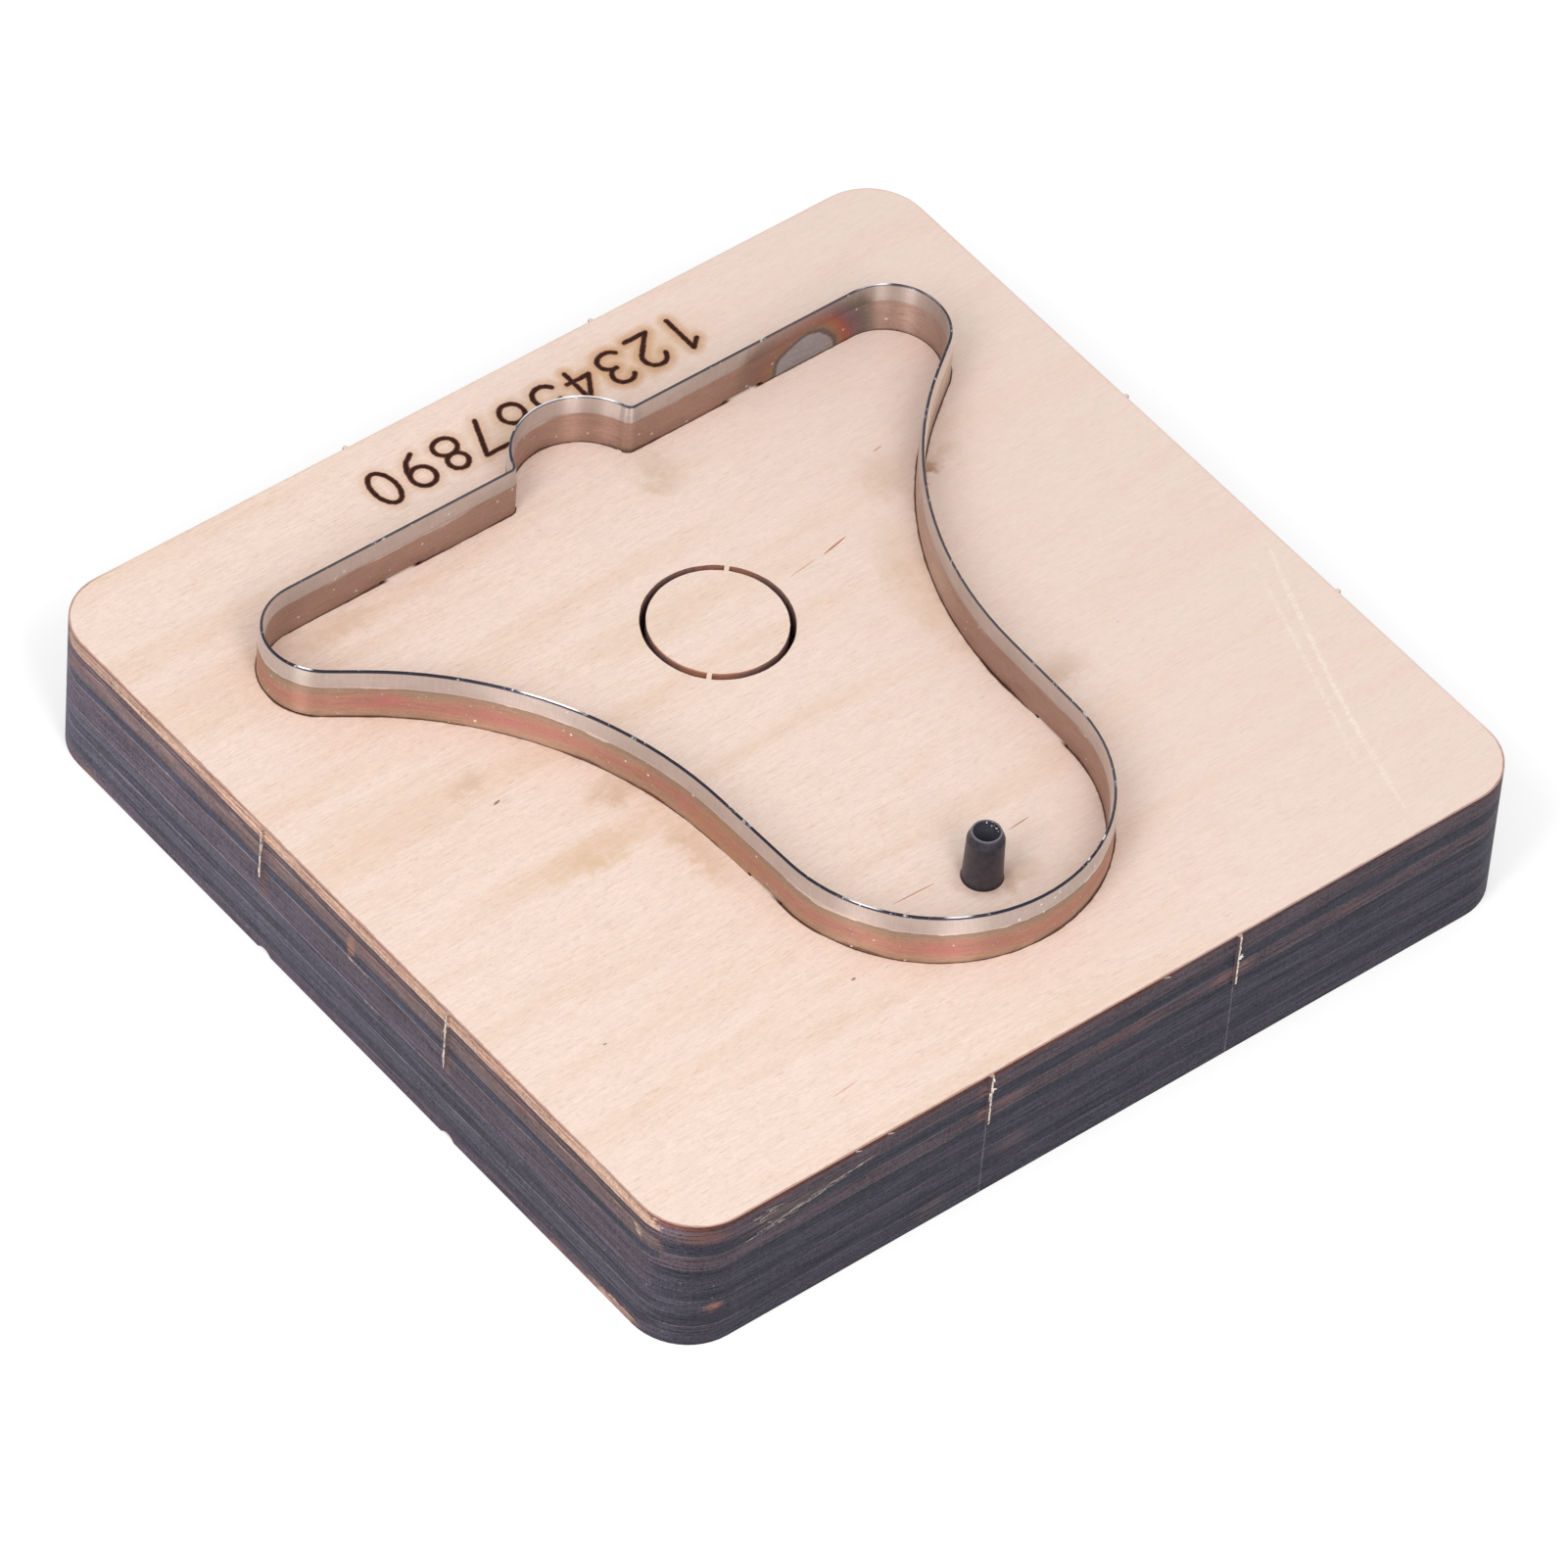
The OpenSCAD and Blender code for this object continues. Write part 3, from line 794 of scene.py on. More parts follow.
        cream = w.times(cream, w.span(w.scaled(fine, 0.16, off_tie), 0.24, 0.14))
        colour = w.mix(cream, colour, self.torn)
        relief = w.plus(fibres, w.times(mottle, 0.5))
        return colour, relief

    @staticmethod
    def _bands(plies: tuple[Ply, ...]) -> list[tuple[float, Colour]]:
        """Turns plies into ramp stops with narrow soft borders."""
        stops: list[tuple[float, Colour]] = [(0.0, plies[0].colour)]
        for above, below in zip(plies, plies[1:]):
            stops.append(((below.depth - 0.03) / BOARD_TOP, above.colour))
            stops.append(((below.depth + 0.03) / BOARD_TOP, below.colour))
        return stops

    def _walls(self, w: Wiring, place: Socket) -> Socket:
        """The charred walls of the slots and holes, redder at the rim."""
        _, _, z = w.parts(place)
        soot = w.drawn(place, (2.0, 2.0, 0.4), 3.0)
        centred = w.vector("NORMALIZE", w.vector("SUBTRACT", place, (0.0, 11.0, 16.8)).outputs[0]).outputs[0]
        by_tie = w.positive(w.vector("DOT_PRODUCT", centred, (0.7071, 0.7071, 0.0)).outputs["Value"])
        fresh = w.times(w.span(w.scaled(soot, 0.2, by_tie), 0.9, 1.12), 0.85)
        lip = w.scaled(soot, 0.8, w.minus(z, 17.3))
        rim = w.most(fresh, w.times(w.span(lip, 0.0, 0.7), 0.5))
        colour = w.mix(soot, paint(122, 102, 104), paint(158, 124, 118))
        return w.mix(rim, colour, paint(190, 130, 104))


@dataclass(frozen=True)
class RuleFinish:
    """Cutting rule: tempered brown steel and a ground bevel, with a honed edge painted dark as a painted reflection,
    painted glints on that edge, and painted light on some inner walls.
    """

    effects: SharedEffects

    # Up the outer face: darker at the very foot, then the tempered body, a light hairline at the foot of the bevel that
    # is a painted highlight, the ground bevel, and a honed edge painted near black as a painted reflection of a dark
    # surround.
    OUTSIDE = (
        (0.0, paint(128, 86, 74)),
        (0.02, paint(168, 128, 108)),
        (0.05, paint(180, 144, 121)),
        (0.13, paint(184, 144, 122)),
        (0.3, paint(187, 130, 115)),
        (0.46, paint(183, 138, 118)),
        (0.56, paint(168, 140, 119)),
        (0.645, paint(160, 134, 115)),
        (0.652, paint(230, 208, 198)),
        (0.675, paint(207, 189, 181)),
        (0.945, paint(206, 190, 182)),
        (0.96, paint(64, 62, 74)),
        (1.0, paint(52, 52, 66)),
    )
    # Up the inner face: the top stops paint the honed edge dark as a painted reflection of a dark surround.
    INSIDE = (
        (0.0, paint(112, 78, 70)),
        (0.03, paint(154, 118, 104)),
        (0.3, paint(168, 131, 116)),
        (0.625, paint(170, 133, 118)),
        (0.68, paint(200, 182, 174)),
        (0.958, paint(208, 190, 182)),
        (0.97, paint(106, 104, 112)),
        (1.0, paint(86, 84, 94)),
    )
    SILVERED = (
        (0.0, paint(120, 98, 90)),
        (0.2, paint(176, 150, 136)),
        (0.42, paint(204, 176, 160)),
        (0.64, paint(212, 184, 168)),
        (0.68, paint(222, 200, 188)),
    )
    TINTS = (
        StainOrPaintedLight((-18.6, -15.5, 20.0), (3.0, 9.5, 5.0), paint(180, 132, 98), 0.6, 0.4),
        StainOrPaintedLight((-9.0, -38.5, 19.7), (9.0, 4.5, 2.0), paint(190, 112, 110), 0.8),
        StainOrPaintedLight((-27.5, 9.0, 19.7), (10.0, 12.0, 1.8), paint(186, 110, 110), 0.65),
        StainOrPaintedLight((-36.0, 20.5, 20.0), (6.0, 4.0, 1.9), paint(192, 108, 114), 0.85),
        StainOrPaintedLight((9.0, -38.5, 19.7), (9.0, 4.5, 2.0), paint(188, 114, 108), 0.75),
    )
    # Painted light: the inner walls at the right shoulder and the right waist, which face the left lamp, are painted
    # paler.
    PAINTED_LIT_WALLS = (
        StainOrPaintedLight((39.0, 28.0, 20.0), (7.0, 9.0, 6.0), paint(186, 158, 146), 0.6, 0.5),
        StainOrPaintedLight((27.0, 6.0, 20.0), (12.0, 15.0, 6.0), paint(194, 162, 146), 0.9, 0.5),
    )
    # Painted highlights: near-white and grey glints painted on the honed edge where it would catch a lamp.
    GLINTS = (
        StainOrPaintedLight((-41.4, 25.4, 23.8), (0.9, 1.2, 1.0), paint(240, 242, 246), 0.9, 0.4),
        StainOrPaintedLight((-24.8, 7.0, 23.8), (3.2, 4.6, 1.0), paint(250, 250, 252), 1.0, 0.6),
        StainOrPaintedLight((-15.9, -31.6, 23.8), (2.0, 2.4, 1.0), paint(232, 232, 238), 0.8, 0.4),
        StainOrPaintedLight((-9.1, -38.0, 23.8), (1.8, 1.6, 1.0), paint(236, 236, 240), 0.8, 0.4),
        StainOrPaintedLight((9.05, -38.2, 23.8), (0.5, 0.5, 1.0), paint(246, 246, 248), 1.0, 0.6),
        StainOrPaintedLight((5.95, -39.5, 23.8), (0.4, 0.4, 1.0), paint(246, 246, 248), 1.0, 0.6),
        StainOrPaintedLight((38.6, 34.6, 23.8), (2.6, 1.5, 1.0), paint(226, 228, 232), 0.9, 0.5),
        StainOrPaintedLight((2.4, 39.2, 23.8), (6.8, 4.6, 1.0), paint(244, 244, 248), 1.0, 0.7),
        StainOrPaintedLight((42.3, 29.6, 23.8), (0.8, 2.0, 1.0), paint(176, 176, 184), 0.7, 0.3),
    )
    HEAT = (
        (0.0, paint(162, 154, 156)),
        (0.35, paint(164, 156, 157)),
        (0.375, paint(114, 94, 88)),
        (0.405, paint(122, 100, 90)),
        (0.43, paint(150, 122, 98)),
        (0.47, paint(168, 114, 88)),
        (0.53, paint(174, 100, 80)),
        (0.6, paint(150, 98, 96)),
        (0.66, paint(134, 102, 112)),
        (0.74, paint(128, 110, 108)),
        (0.81, paint(132, 121, 108)),
        (0.92, paint(150, 124, 106)),
    )

    def build(self) -> bpy.types.Material:
        """Builds the material.

        Returns:
            The finished rule material.
        """
        material, w = blank_material("rule_steel")
        place = w.millimetres()
        x, y, z = w.parts(place)
        side = w.group(self.effects.outline, Place=place).outputs["Side"]
        outside = w.span(side, -0.015, 0.015)
        run = w.plus(x, w.times(y, 1.3))
        lengthwise = w.add("CombineXYZ", {0: run, 1: w.minus(x, y), 2: z}).outputs[0]
        cloud = w.drawn(lengthwise, (0.09, 0.09, 0.35), 3.0, 0.55)
        lines = w.drawn(lengthwise, (0.25, 0.25, 9.0), 3.0, 0.6)
        share = w.over(w.minus(z, BOARD_TOP), RULE_TOP - BOARD_TOP)
        body = w.span(share, 0.655, 0.635)
        sway = w.times(w.minus(cloud, 0.5), w.times(body, 0.35))
        moved = w.plus(share, sway)
        colour = w.mix(outside, w.ramp(moved, list(self.INSIDE)), w.ramp(moved, list(self.OUTSIDE)))
        for tint in self.TINTS:
            mask = self.effects.patch_mask(w, place, tint)
            amount = w.times(mask, w.times(outside, body))
            streaky = w.times(w.span(cloud, 0.36, 0.6, tint.strength), w.span(lines, 0.34, 0.56))
            patchy = w.times(amount, streaky)
            colour = w.mix(patchy, colour, tint.colour)
        silvered = w.times(w.span(x, 12.0, 17.0, 0.85), outside)
        colour = w.mix(w.times(silvered, w.span(share, 0.952, 0.948)), colour, w.ramp(moved, list(self.SILVERED)))
        inside = w.minus(1.0, outside)
        # Painted light on the inner walls that face the left lamp.
        for tint in self.PAINTED_LIT_WALLS:
            mask = self.effects.patch_mask(w, place, tint)
            amount = w.times(mask, w.times(w.times(inside, body), tint.strength))
            colour = w.mix(amount, colour, tint.colour)
        colour = self._weld(w, place, colour, inside)
        bevel = w.minus(1.0, body)
        streaks = w.times(w.span(lines, 0.3, 0.7), w.scaled(body, 0.18, 0.05))
        scale = w.drawn(lengthwise, (0.5, 0.5, 3.6), 5.0, 0.78)
        grime = w.times(body, w.span(scale, 0.5, 0.66, 0.5))
        colour = w.mix(grime, colour, paint(150, 122, 92))
        grains = w.noise(place, 4.5, 2.0, 0.7)
        streaks = w.scaled(w.times(w.span(grains, 0.3, 0.7), body), 0.14, streaks)
        grinding = w.drawn(place, (5.0, 5.0, 0.3), 2.0, 0.7)
        ground = w.times(bevel, w.span(grinding, 0.3, 0.7, 0.08))
        light = w.plus(w.plus(streaks, ground), w.span(cloud, 0.3, 0.7, 0.12))
        colour = w.shaded(colour, w.plus(light, w.scaled(bevel, 0.06, 0.8)))
        tip = w.span(share, 0.955, 0.965)
        # Nicks along the honed edge, painted near white as painted glints.
        nicks_and_glints = w.times(tip, w.span(w.drawn(place, (0.9, 0.9, 0.9), 4.0, 0.7), 0.6, 0.68))
        colour = w.mix(w.times(nicks_and_glints, 0.8), colour, paint(220, 224, 230))
        # Painted highlights: the glints are painted onto the top band of the edge.
        painted_glint_band = w.span(share, 0.978, 0.984)
        for glint in self.GLINTS:
            mask = self.effects.patch_mask(w, place, glint)
            colour = w.mix(w.times(mask, w.times(painted_glint_band, glint.strength)), colour, glint.colour)
        dust = w.group(self.effects.specks, Place=place, Spacing=0.7, Size=0.1, Share=0.5)
        grit = w.group(self.effects.specks, Place=place, Spacing=1.4, Size=0.19, Share=0.6)
        flecks = w.most(w.times(dust.outputs[0], 0.5), w.times(grit.outputs[0], 0.9))
        flecks = w.times(flecks, w.scaled(outside, 0.4, 0.6))
        colour = w.mix(flecks, colour, paint(240, 230, 220))
        steel = w.scaled(body, -0.5, 0.95)
        metal = w.times(steel, w.minus(1.0, flecks))
        rough = w.scaled(body, 0.14, w.scaled(lines, 0.08, 0.36))
        notch = self.effects.covered(w, place, (7.7, 35.6, 20.5), (1.6, 1.6, 5.0), 0.5)
        rough = w.scaled(notch, 0.3, rough)
        height = w.scaled(flecks, 1.5, w.times(lines, 0.35))
        bump = w.add("Bump", {"Strength": 0.3, "Distance": 0.00004, "Height": height})
        upright = w.add("CombineXYZ", {0: 0.0, 1: 0.0, 2: 1.0}).outputs[0]
        feeds: Feeds = {"Base Color": colour, "Metallic": metal, "Roughness": rough}
        surface(w, {**feeds, "Anisotropic": 1.0, "Tangent": upright, "Normal": bump.outputs[0]})
        return material

    def _weld(self, w: Wiring, place: Socket, colour: Socket, inside: Socket) -> Socket:
        """The ground weld inside the right shoulder, with its rings of temper colours."""
        offset = w.vector("SUBTRACT", place, (30.0, 34.8, 17.35)).outputs[0]
        even = w.vector("LENGTH", w.stretched(offset, (0.96, 0.3, 0.98))).outputs["Value"]
        drift = w.minus(w.noise(place, 0.45, 3.0, 0.6), 0.5)
        reach = w.times(even, w.scaled(drift, 0.26, 1.0))
        x, y, z = w.parts(place)
        faded = w.times(w.span(reach, 10.0, 7.6), w.span(z, 26.0, 20.5))
        mask = w.times(w.times(faded, w.span(y, 26.0, 31.0)), inside)
        tints = w.ramp(w.over(reach, 10.0), list(self.HEAT))
        dulled = w.times(w.span(x, 31.0, 27.5, 0.75), w.span(reach, 3.9, 4.4))
        tints = w.mix(dulled, tints, paint(150, 114, 96))
        tints = w.mix(w.times(w.span(x, 34.5, 38.0, 0.25), w.span(reach, 3.9, 4.4)), tints, paint(140, 116, 104))
        return w.mix(w.most(mask, w.times(inside, w.span(reach, 4.2, 4.0))), colour, tints)


@dataclass(frozen=True)
class PunchFinish:
    """Blackened steel with fine turning marks, rubbed lighter at the mouth."""

    effects: SharedEffects
    black: Colour = paint(90, 88, 98)
    rubbed: Colour = paint(170, 168, 174)
    bore: Colour = paint(104, 102, 112)

    def build(self) -> bpy.types.Material:
        """Builds the material.

        Returns:
            The finished punch material.
        """
        material, w = blank_material("blackened_steel")
        place = w.millimetres()
        _, _, z = w.parts(place)
        flat = w.stretched(w.vector("SUBTRACT", place, (*PUNCH, 0.0)).outputs[0], (1.0, 1.0, 0.0))
        reach = w.vector("LENGTH", flat).outputs["Value"]
        within = w.span(reach, 1.52, 1.48)
        cloud = w.noise(place, 1.3, 4.0, 0.6)
        rings = w.drawn(place, (0.2, 0.2, 9.0), 2.0)
        colour = w.mix(w.span(cloud, 0.35, 0.7), paint(76, 74, 84), self.black)
        brim = w.times(w.span(z, 23.8, 23.97), w.span(reach, 1.36, 1.42))
        colour = w.mix(w.times(brim, 0.3), colour, self.rubbed)
        foot = w.times(w.span(z, BOARD_TOP + 0.6, BOARD_TOP), 0.5)
        colour = w.mix(foot, colour, paint(58, 52, 56))
        deep = w.times(within, w.span(z, 23.95, 22.8))
        colour = w.mix(deep, colour, self.bore)
        dust = w.group(self.effects.specks, Place=place, Spacing=0.9, Size=0.07, Share=0.22)
        colour = w.mix(w.times(dust.outputs[0], 0.6), colour, paint(196, 190, 184))
        rough = w.scaled(cloud, 0.2, 0.36)
        bump = w.add("Bump", {"Strength": 0.25, "Distance": 0.00005, "Height": w.plus(rings, cloud)})
        metal = w.scaled(within, -0.5, w.scaled(dust.outputs[0], -0.3, 0.8))
        surface(w, {"Base Color": colour, "Metallic": metal, "Roughness": rough, "Normal": bump.outputs[0]})
        return material


@dataclass(frozen=True)
class TornWoodFinish:
    """Freshly torn birch fibres, cream with brown roots."""

    name: str
    deep: Colour = paint(238, 218, 202)
    pale: Colour = paint(255, 253, 248)

    def build(self) -> bpy.types.Material:
        """Builds the material."""
        material, w = blank_material(self.name)
        place = w.millimetres()
        grain = w.drawn(place, (2.0, 2.0, 4.0), 3.0)
        colour = w.mix(w.span(grain, 0.35, 0.65), self.deep, self.pale)
        dark = w.span(w.noise(place, 0.7, 2.0), 0.6, 0.7, 0.15)
        colour = w.mix(dark, colour, paint(146, 112, 92))
        bump = w.add("Bump", {"Strength": 0.4, "Distance": 0.00005, "Height": grain})
        surface(w, {"Base Color": colour, "Roughness": 0.75, "Specular IOR Level": 0.2, "Normal": bump.outputs[0]})
        return material


@dataclass(frozen=True)
class BurntNumberFinish:
    """A line burnt by the laser: a dark core, a red-brown border and a tan haze that fades out."""

    effects: SharedEffects
    field: str = "burn_distance"

    def build(self) -> bpy.types.Material:
        """Builds the material."""
        material, w = blank_material("burnt_number")
        place = w.millimetres()
        x, _, _ = w.parts(place)
        reach = w.add("Attribute", {}, attribute_name=self.field).outputs["Fac"]
        ragged = w.drawn(place, (1.6, 2.6, 1.0), 3.0, 0.6)
        frayed = w.scaled(w.minus(ragged, 0.5), 0.26, reach)
        core = w.span(frayed, 0.26, 0.16)
        border = w.span(frayed, 0.42, 0.24)
        heavy = w.scaled(w.span(x, 4.0, 10.0), 0.35, 0.3)
        haze = w.times(w.span(frayed, 1.5, 0.2), w.times(heavy, w.scaled(ragged, 0.9, 0.2)))
        colour = w.mix(border, paint(222, 176, 128), paint(126, 70, 46))
        colour = w.mix(core, colour, w.mix(ragged, paint(34, 22, 24), paint(72, 42, 34)))
        alpha = w.most(haze, w.times(border, 0.85), core)
        bump = w.add("Bump", {"Strength": 0.6, "Distance": 0.0001, "Height": w.minus(ragged, core)})
        feeds: Feeds = {"Base Color": colour, "Roughness": 0.85, "Specular IOR Level": 0.1, "Alpha": alpha}
        surface(w, {**feeds, "Normal": bump.outputs[0]})
        return material


class Slot(Enum):
    """Names of the three main materials."""

    PLYWOOD = "plywood"
    RULE = "rule_steel"
    PUNCH = "blackened_steel"


def settle(bm: bmesh.types.BMesh, name: str, material: bpy.types.Material) -> bpy.types.Object:
    """Turns a bmesh in millimetres into a finished piece that rides with the die.

    Args:
        bm: the mesh, which is freed.
        name: the piece's name.
        material: its material.

    Returns:
        The new object, at the origin, with its place in its mesh.
    """
    bmesh.ops.scale(bm, vec=(MM, MM, MM), verts=bm.verts)
    mesh = bpy.data.meshes.new(name)
    bm.to_mesh(mesh)
    bm.free()
    mesh.materials.append(material)
    piece = bpy.data.objects.new(name, mesh)
    bpy.context.scene.collection.objects.link(piece)
    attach(piece, "root")
    log.info("%s: %d faces", name, len(mesh.polygons))
    return piece


def sliver(
    bm: bmesh.types.BMesh, root: Vector, tip: Vector, width: float, flat: float = 0.6, blunt: float = 0.15
) -> None:
    """Adds a thin tapered sliver of wood.

    Args:
        bm: the mesh that it goes into, in millimetres.
        root, tip: its two ends.
        width: its width at the root.
        flat: its thickness as a share of its width.
        blunt: its width at the tip as a share of the width at the root.
    """
    run = tip - root
    aim = run.to_track_quat("Z", "X").to_matrix().to_4x4()
    seat = Matrix.Translation((root + tip) / 2) @ aim @ Matrix.Diagonal((1.0, flat, 1.0, 1.0))
    bmesh.ops.create_cone(
        bm,
        cap_ends=True,
        segments=5,
        radius1=width / 2,
        radius2=width / 2 * blunt,
        depth=run.length,
        matrix=seat,
    )


@dataclass
class TornTie:
    """One broken tie on the board's edge: where it stands, and how far down its pale fibres run."""

    foot: Spot
    outward: Spot
    pale_depth: float
    seed: int
    blob_depth: float = -1.0

    def build(self, bm: bmesh.types.BMesh) -> None:
        """Adds the torn fibres of this tie to a mesh."""
        lot = random.Random(self.seed)
        out = Vector((*self.outward, 0.0))
        side = Vector((-self.outward[1], self.outward[0], 0.0))
        depth = 0.05
        while depth < self.pale_depth:
            length = lot.uniform(0.3, 1.1)
            drift = side * lot.uniform(-0.13, 0.13)
            root = Vector((*self.foot, BOARD_TOP - depth)) + out * 0.24 + drift
            lean = side * lot.uniform(-0.2, 0.2) + out * lot.uniform(0.0, 0.14)
            end = root - Vector((0.0, 0.0, min(length, BOARD_TOP - depth))) + lean
            start = root + out * lot.uniform(-0.05, 0.08)
            thick = lot.uniform(0.16, 0.32) if depth < 1.2 else lot.uniform(0.1, 0.2)
            sliver(bm, start, end, thick, 0.8, lot.uniform(0.15, 0.7))
            depth += lot.uniform(0.16, 0.4) + (0.6 if lot.random() < 0.2 else 0.0)
        if self.blob_depth > 0:
            for _ in range(9):
                core = Vector((*self.foot, BOARD_TOP - self.blob_depth)) + out * 0.32
                spread = side * lot.uniform(-0.1, 0.6) + Vector((0.0, 0.0, lot.uniform(-0.3, 0.35)))
                sliver(bm, core, core + spread + out * lot.uniform(0.0, 0.1), lot.uniform(0.15, 0.3), 0.9, 0.5)


@dataclass
class DieBoard:
    """The plywood board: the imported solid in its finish, and the torn wood on its edges."""

    effects: SharedEffects
    seed: int = 7

    TIES = (
        TornTie((-54.0, LEFT_TIE), (-1.0, 0.0), 6.6, 11),
        TornTie((-54.0, -LEFT_TIE), (-1.0, 0.0), 7.2, 12),
        TornTie((-FRONT_TIE, -52.0), (0.0, -1.0), 5.8, 13, 1.9),
        TornTie((FRONT_TIE, -52.0), (0.0, -1.0), 3.4, 14, 3.2),
        TornTie((54.0, RIGHT_TIES[0]), (1.0, 0.0), 6.0, 15),
        TornTie((54.0, RIGHT_TIES[1]), (1.0, 0.0), 5.2, 16),
        TornTie((-FRONT_TIE, 52.0), (0.0, 1.0), 5.0, 17),
        TornTie((FRONT_TIE, 52.0), (0.0, 1.0), 6.4, 18, 2.4),
    )

    def build(self) -> list[bpy.types.Object]:
        """Dresses the board and adds its torn wood.

        Returns:
            The pieces of the board.
        """
        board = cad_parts["die_board"]
        dress(board, PlywoodFinish(self.effects).build())
        torn = TornWoodFinish("torn_wood").build()
        singed = TornWoodFinish("singed_wood", paint(150, 134, 128), paint(226, 210, 200)).build()
        return [board, self._ties(torn), self._splinters(singed)]

    def _ties(self, torn: bpy.types.Material) -> bpy.types.Object:
        """The pale fibres on the eight broken ties."""
        bm = bmesh.new()
        for tie in self.TIES:
            tie.build(bm)
        return settle(bm, "torn_ties", torn)

    def _splinters(self, torn: bpy.types.Material) -> bpy.types.Object:
        """The fine splinters that the laser left on the front edge, and the sliver in the left edge's chip."""
        bm = bmesh.new()
        lot = random.Random(self.seed)
        for low, rise, count, first, span in ((13.1, 2.0, 34, -46.0, 14.6), (13.0, 1.5, 14, -43.4, 9.0)):
            for i in range(count):
                share = i / (count - 1)
                length = lot.uniform(0.7, 2.4)
                bow = 0.5 * share * (1 - share)
                root = Vector((first + span * share, -52.0, low + rise * share + bow + lot.uniform(-0.16, 0.16)))
                tip = root + Vector((length, lot.uniform(-0.08, 0.0), length * lot.uniform(0.04, 0.2)))
                sliver(bm, root, tip, lot.uniform(0.03, 0.09), 0.6, 0.3)
        for _ in range(16):
            root = Vector((lot.uniform(-45.4, -41.6), -52.0, lot.uniform(14.1, 16.2)))
            sliver(bm, root, root + Vector((lot.uniform(0.3, 1.2), -0.05, lot.uniform(-0.3, 0.4))), 0.07, 0.6, 0.3)
        for x, depth in ((-32.7, 0.15), (-28.7, 0.18), (6.2, 0.2)):
            root = Vector((x, -51.98, BOARD_TOP - depth))
            sliver(bm, root, root + Vector((0.75, -0.1, -0.25)), 0.26, 0.7, 0.3)
        chip = Vector((-54.0, 0.9, BOARD_TOP - 6.2))
        sliver(bm, chip, chip + Vector((-0.05, -3.3, -0.05)), 0.18, 0.7, 0.3)
        for y, depth in ((20.5, 2.5), (-2.0, 10.0), (31.0, 6.0)):
            root = Vector((-54.0, y, BOARD_TOP - depth))
            sliver(bm, root, root + Vector((-0.05, -lot.uniform(1.2, 2.4), 0.1)), 0.1, 0.7, 0.3)
        return settle(bm, "edge_splinters", torn)


def arc(centre: Spot, radii: Spot, start: float, end: float, steps: int = 12) -> list[Spot]:
    """Points along an ellipse, by angle in degrees from +X anticlockwise."""
    turns = (math.radians(start + (end - start) * i / steps) for i in range(steps + 1))
    return [(centre[0] + radii[0] * math.cos(turn), centre[1] + radii[1] * math.sin(turn)) for turn in turns]


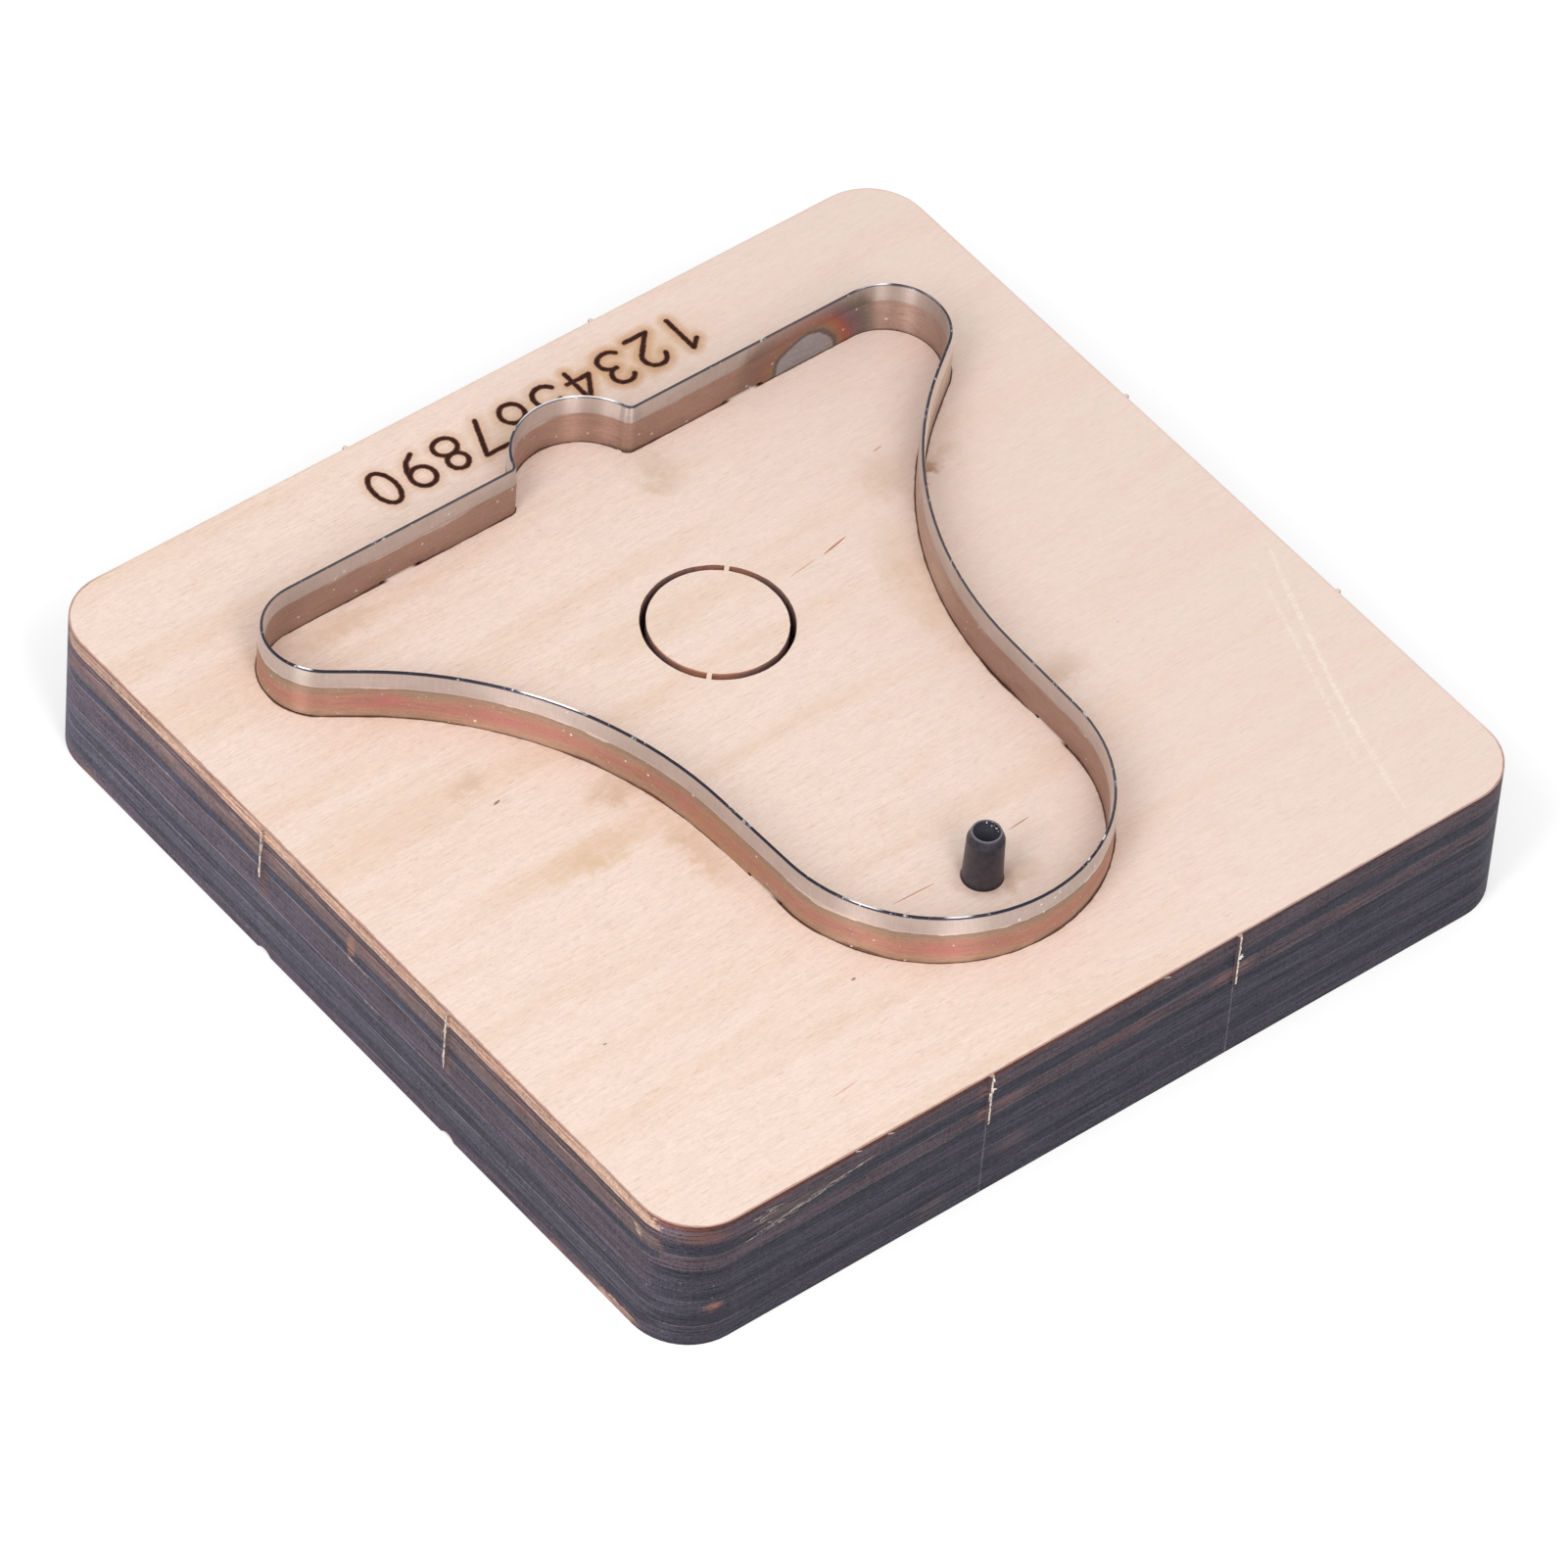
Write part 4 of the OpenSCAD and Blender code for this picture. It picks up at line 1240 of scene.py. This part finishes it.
@dataclass
class BurntNumbers:
    """A row of plain numbers burnt into the veneer behind the bump, one laser stroke wide.

    They stand on their heads for someone at the front edge, so the row runs towards -X.
    """

    effects: SharedEffects
    start_x: float = 23.6
    baseline_y: float = 47.5
    height: float = 4.6
    width: float = 2.9
    pitch: float = 4.25
    lift: float = 0.02
    cell: float = 0.12
    reach: float = 1.5

    def strokes(self, digit: int) -> list[list[Spot]]:
        """The strokes of one digit in a cell one unit high.

        Args:
            digit: 0 to 9.

        Returns:
            Each stroke as a list of points, with x from 0 to 0.62.
        """
        shapes: dict[int, list[list[Spot]]] = {
            0: [arc((0.31, 0.5), (0.3, 0.5), 0, 360, 20)],
            1: [[(0.1, 0.8), (0.34, 1.0), (0.34, 0.0)]],
            2: [arc((0.31, 0.71), (0.29, 0.29), 170, -35) + [(0.02, 0.0), (0.62, 0.0)]],
            3: [arc((0.3, 0.75), (0.27, 0.25), 150, -90), arc((0.3, 0.26), (0.31, 0.26), 90, -150)],
            4: [[(0.46, 0.0), (0.46, 1.0), (0.0, 0.3), (0.62, 0.3)]],
            5: [[(0.57, 1.0), (0.08, 1.0), (0.05, 0.55)] + arc((0.29, 0.32), (0.32, 0.32), 130, -150)],
            6: [arc((0.31, 0.3), (0.3, 0.3), 0, 360, 18), [(0.01, 0.32), (0.08, 0.62), (0.24, 0.86), (0.47, 1.0)]],
            7: [[(0.0, 1.0), (0.62, 1.0), (0.2, 0.0)]],
            8: [arc((0.31, 0.76), (0.25, 0.24), 0, 360, 16), arc((0.31, 0.26), (0.3, 0.26), 0, 360, 18)],
            9: [arc((0.31, 0.7), (0.3, 0.3), 0, 360, 18), [(0.61, 0.68), (0.54, 0.38), (0.38, 0.14), (0.15, 0.0)]],
        }
        return shapes[digit]

    def build(self) -> list[bpy.types.Object]:
        """Lays the burnt row on the board.

        Returns:
            The one piece that carries the row.
        """
        bm = bmesh.new()
        middle = Vector((self.start_x - self.pitch * 5, self.baseline_y - self.height / 2, BOARD_TOP + self.lift))
        half = (self.pitch * 5 + self.reach, self.height / 2 + self.reach)
        seat = Matrix.Translation(middle) @ Matrix.Diagonal((half[0], half[1], 1.0, 1.0))
        counts = [round(2 * side / self.cell) for side in half]
        bmesh.ops.create_grid(bm, x_segments=counts[0], y_segments=counts[1], size=1.0, matrix=seat)
        field = bm.verts.layers.float.new("burn_distance")
        segments = self._segments()
        for vert in bm.verts:
            near = int((self.start_x - vert.co.x) / self.pitch)
            beside = [piece for i in (near - 1, near, near + 1) for piece in segments.get(i, [])]
            vert[field] = min((self._distance(vert.co.xy, a, b) for a, b in beside), default=self.reach)
        far = [vert for vert in bm.verts if vert[field] >= self.reach]
        bmesh.ops.delete(bm, geom=far, context="VERTS")
        return [settle(bm, "burnt_numbers", BurntNumberFinish(self.effects).build())]

    def _segments(self) -> dict[int, list[tuple[Vector, Vector]]]:
        """Every straight bit of every stroke on the board, by the number's place in the row."""
        found: dict[int, list[tuple[Vector, Vector]]] = {}
        for place, digit in enumerate((1, 2, 3, 4, 5, 6, 7, 8, 9, 0)):
            left = self.start_x - place * self.pitch
            for stroke in self.strokes(digit):
                points = [Vector((left - x * self.height * 0.98, self.baseline_y - y * self.height)) for x, y in stroke]
                found.setdefault(place, []).extend(zip(points, points[1:]))
        return found

    @staticmethod
    def _distance(spot: Vector, a: Vector, b: Vector) -> float:
        """The distance of a spot from a straight bit."""
        run = b - a
        share = min(1.0, max(0.0, (spot - a).dot(run) / run.length_squared))
        return (spot - a - run * share).length


@dataclass
class HolePunch:
    """The tubular punch in its finish, with wood crumbs caught in its mouth."""

    effects: SharedEffects
    middle: Spot = PUNCH
    bore: float = 1.4
    mouth_z: float = 24.0
    seed: int = 5

    def build(self) -> list[bpy.types.Object]:
        """Dresses the punch and drops crumbs into its mouth.

        Returns:
            The pieces of the punch.
        """
        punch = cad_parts["hole_punch"]
        dress(punch, PunchFinish(self.effects).build())
        return [punch, self._crumbs(TornWoodFinish("crumb_wood").build())]

    def _crumbs(self, torn: bpy.types.Material) -> bpy.types.Object:
        """A few pale crumbs that cling to the wall of the bore."""
        bm = bmesh.new()
        lot = random.Random(self.seed)
        for _ in range(7):
            turn, size = lot.uniform(-0.2, 0.9), lot.uniform(0.04, 0.09)
            depth = lot.uniform(0.02, 0.7)
            where = Vector(
                (
                    self.middle[0] + (self.bore - size * 0.6) * math.cos(turn),
                    self.middle[1] + (self.bore - size * 0.6) * math.sin(turn),
                    self.mouth_z - depth,
                )
            )
            squash = Matrix.Diagonal((lot.uniform(0.6, 1.2), lot.uniform(0.6, 1.2), lot.uniform(0.7, 1.6), 1.0))
            bmesh.ops.create_icosphere(bm, subdivisions=1, radius=size, matrix=Matrix.Translation(where) @ squash)
        return settle(bm, "wood_crumbs", torn)


@dataclass
class CuttingRule:
    """The bent steel rule in its finish."""

    effects: SharedEffects

    def build(self) -> list[bpy.types.Object]:
        """Dresses the rule."""
        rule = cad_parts["cutting_rule"]
        dress(rule, RuleFinish(self.effects).build())
        return [rule]


def dress(node: bpy.types.Object, material: bpy.types.Material) -> None:
    """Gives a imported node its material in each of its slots."""
    for slot in node.material_slots:
        slot.material = material
    log.info("%s wears %s", node.name, material.name)


@dataclass
class Studio:
    """The floor, the light and the camera of a plain product picture."""

    eye: Place = (-0.575075, -0.634658, 0.927416)
    lens: float = 286.87
    sensor: float = 36.0
    floor_size: float = 6.0
    sky: float = 0.6

    def build(self) -> None:
        """Sets up the camera, the floor, the world and the lamps."""
        self._camera()
        self._floor()
        self._world()
        self._lamp("left_softbox", (-0.7, -0.17, 0.78), (0.3, 0.6), 3.2)
        self._lamp("front_softbox", (-0.2, -0.69, 0.78), (0.3, 0.6), 3.2)
        bpy.context.scene.view_settings.view_transform = "Standard"

    def _camera(self) -> None:
        """The camera at the photograph's angle."""
        data = bpy.data.cameras.new("camera")
        data.lens = self.lens
        data.sensor_width = self.sensor
        data.clip_start, data.clip_end = 0.05, 30.0
        camera = bpy.data.objects.new("camera", data)
        right, up = Vector((0.78106, -0.62158, 0.05987)), Vector((0.42575, 0.60021, 0.67712))
        turn = Matrix((right, up, right.cross(up))).transposed().to_4x4()
        camera.matrix_world = Matrix.Translation(self.eye) @ turn
        bpy.context.scene.collection.objects.link(camera)
        bpy.context.scene.camera = camera

    def _floor(self) -> None:
        """A wide pale floor that keeps the shadow and can be seen through from below."""
        bm = bmesh.new()
        seat = Matrix.Translation((0.0, 0.0, -0.00005))
        bmesh.ops.create_grid(bm, x_segments=1, y_segments=1, size=self.floor_size / 2, matrix=seat)
        mesh = bpy.data.meshes.new("floor")
        bm.to_mesh(mesh)
        bm.free()
        material, w = blank_material("pale_floor")
        path = w.add("LightPath", {})
        seen = w.most(path.outputs["Is Camera Ray"], path.outputs["Is Glossy Ray"], path.outputs["Is Transmission Ray"])
        paper = w.add("BsdfDiffuse", {"Color": (0.8, 0.8, 0.8, 1.0)})
        glow = w.add("Emission", {"Color": (1.0, 1.0, 1.0, 1.0), "Strength": w.times(seen, 0.37)})
        lit = w.add("AddShader", {0: paper.outputs[0], 1: glow.outputs[0]})
        clear = w.add("BsdfTransparent", {})
        below = w.add("NewGeometry", {}).outputs["Backfacing"]
        both = w.add("MixShader", {0: below, 1: lit.outputs[0], 2: clear.outputs[0]})
        output = w.add("OutputMaterial", {})
        w.feed(output.inputs["Surface"], both.outputs[0])
        mesh.materials.append(material)
        floor = bpy.data.objects.new("floor", mesh)
        bpy.context.scene.collection.objects.link(floor)

    def _world(self) -> None:
        """A plain white surround, softer as light than it looks."""
        world = bpy.data.worlds.new("surround")
        bpy.context.scene.world = world
        world.use_nodes = True
        w = Wiring(world.node_tree)
        path = w.add("LightPath", {})
        seen = w.most(path.outputs["Is Camera Ray"], path.outputs["Is Glossy Ray"], path.outputs["Is Transmission Ray"])
        strength = w.scaled(seen, 1.0 - self.sky, self.sky)
        sky = w.add("Background", {"Color": (1.0, 1.0, 1.0, 1.0), "Strength": strength})
        output = w.add("OutputWorld", {})
        w.feed(output.inputs["Surface"], sky.outputs[0])

    @staticmethod
    def _lamp(name: str, where: Place, size: Spot, power: float) -> None:
        """A soft strip lamp that points at the die.

        Args:
            name: the lamp's name.
            where: its place in metres.
            size: its width and height.
            power: its power in watts.
        """
        data = bpy.data.lights.new(name, "AREA")
        data.energy, data.shape, data.size, data.size_y = power, "RECTANGLE", *size
        lamp = bpy.data.objects.new(name, data)
        lamp.location = where
        lamp.rotation_mode = "QUATERNION"
        lamp.rotation_quaternion = (Vector((0.0, 0.0, 0.0)) - Vector(where)).to_track_quat("-Z", "Y")
        bpy.context.scene.collection.objects.link(lamp)


def main() -> None:
    """Builds the studio and the die, one sub-assembly after another."""
    logging.basicConfig(level=logging.INFO, format="%(message)s")
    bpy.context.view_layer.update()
    Studio().build()
    effects = SharedEffects()
    for part in (DieBoard(effects), CuttingRule(effects), HolePunch(effects), BurntNumbers(effects)):
        for piece in part.build():
            log.info("%s holds %s", type(part).__name__, piece.name)


if __name__ == "__main__":
    main()
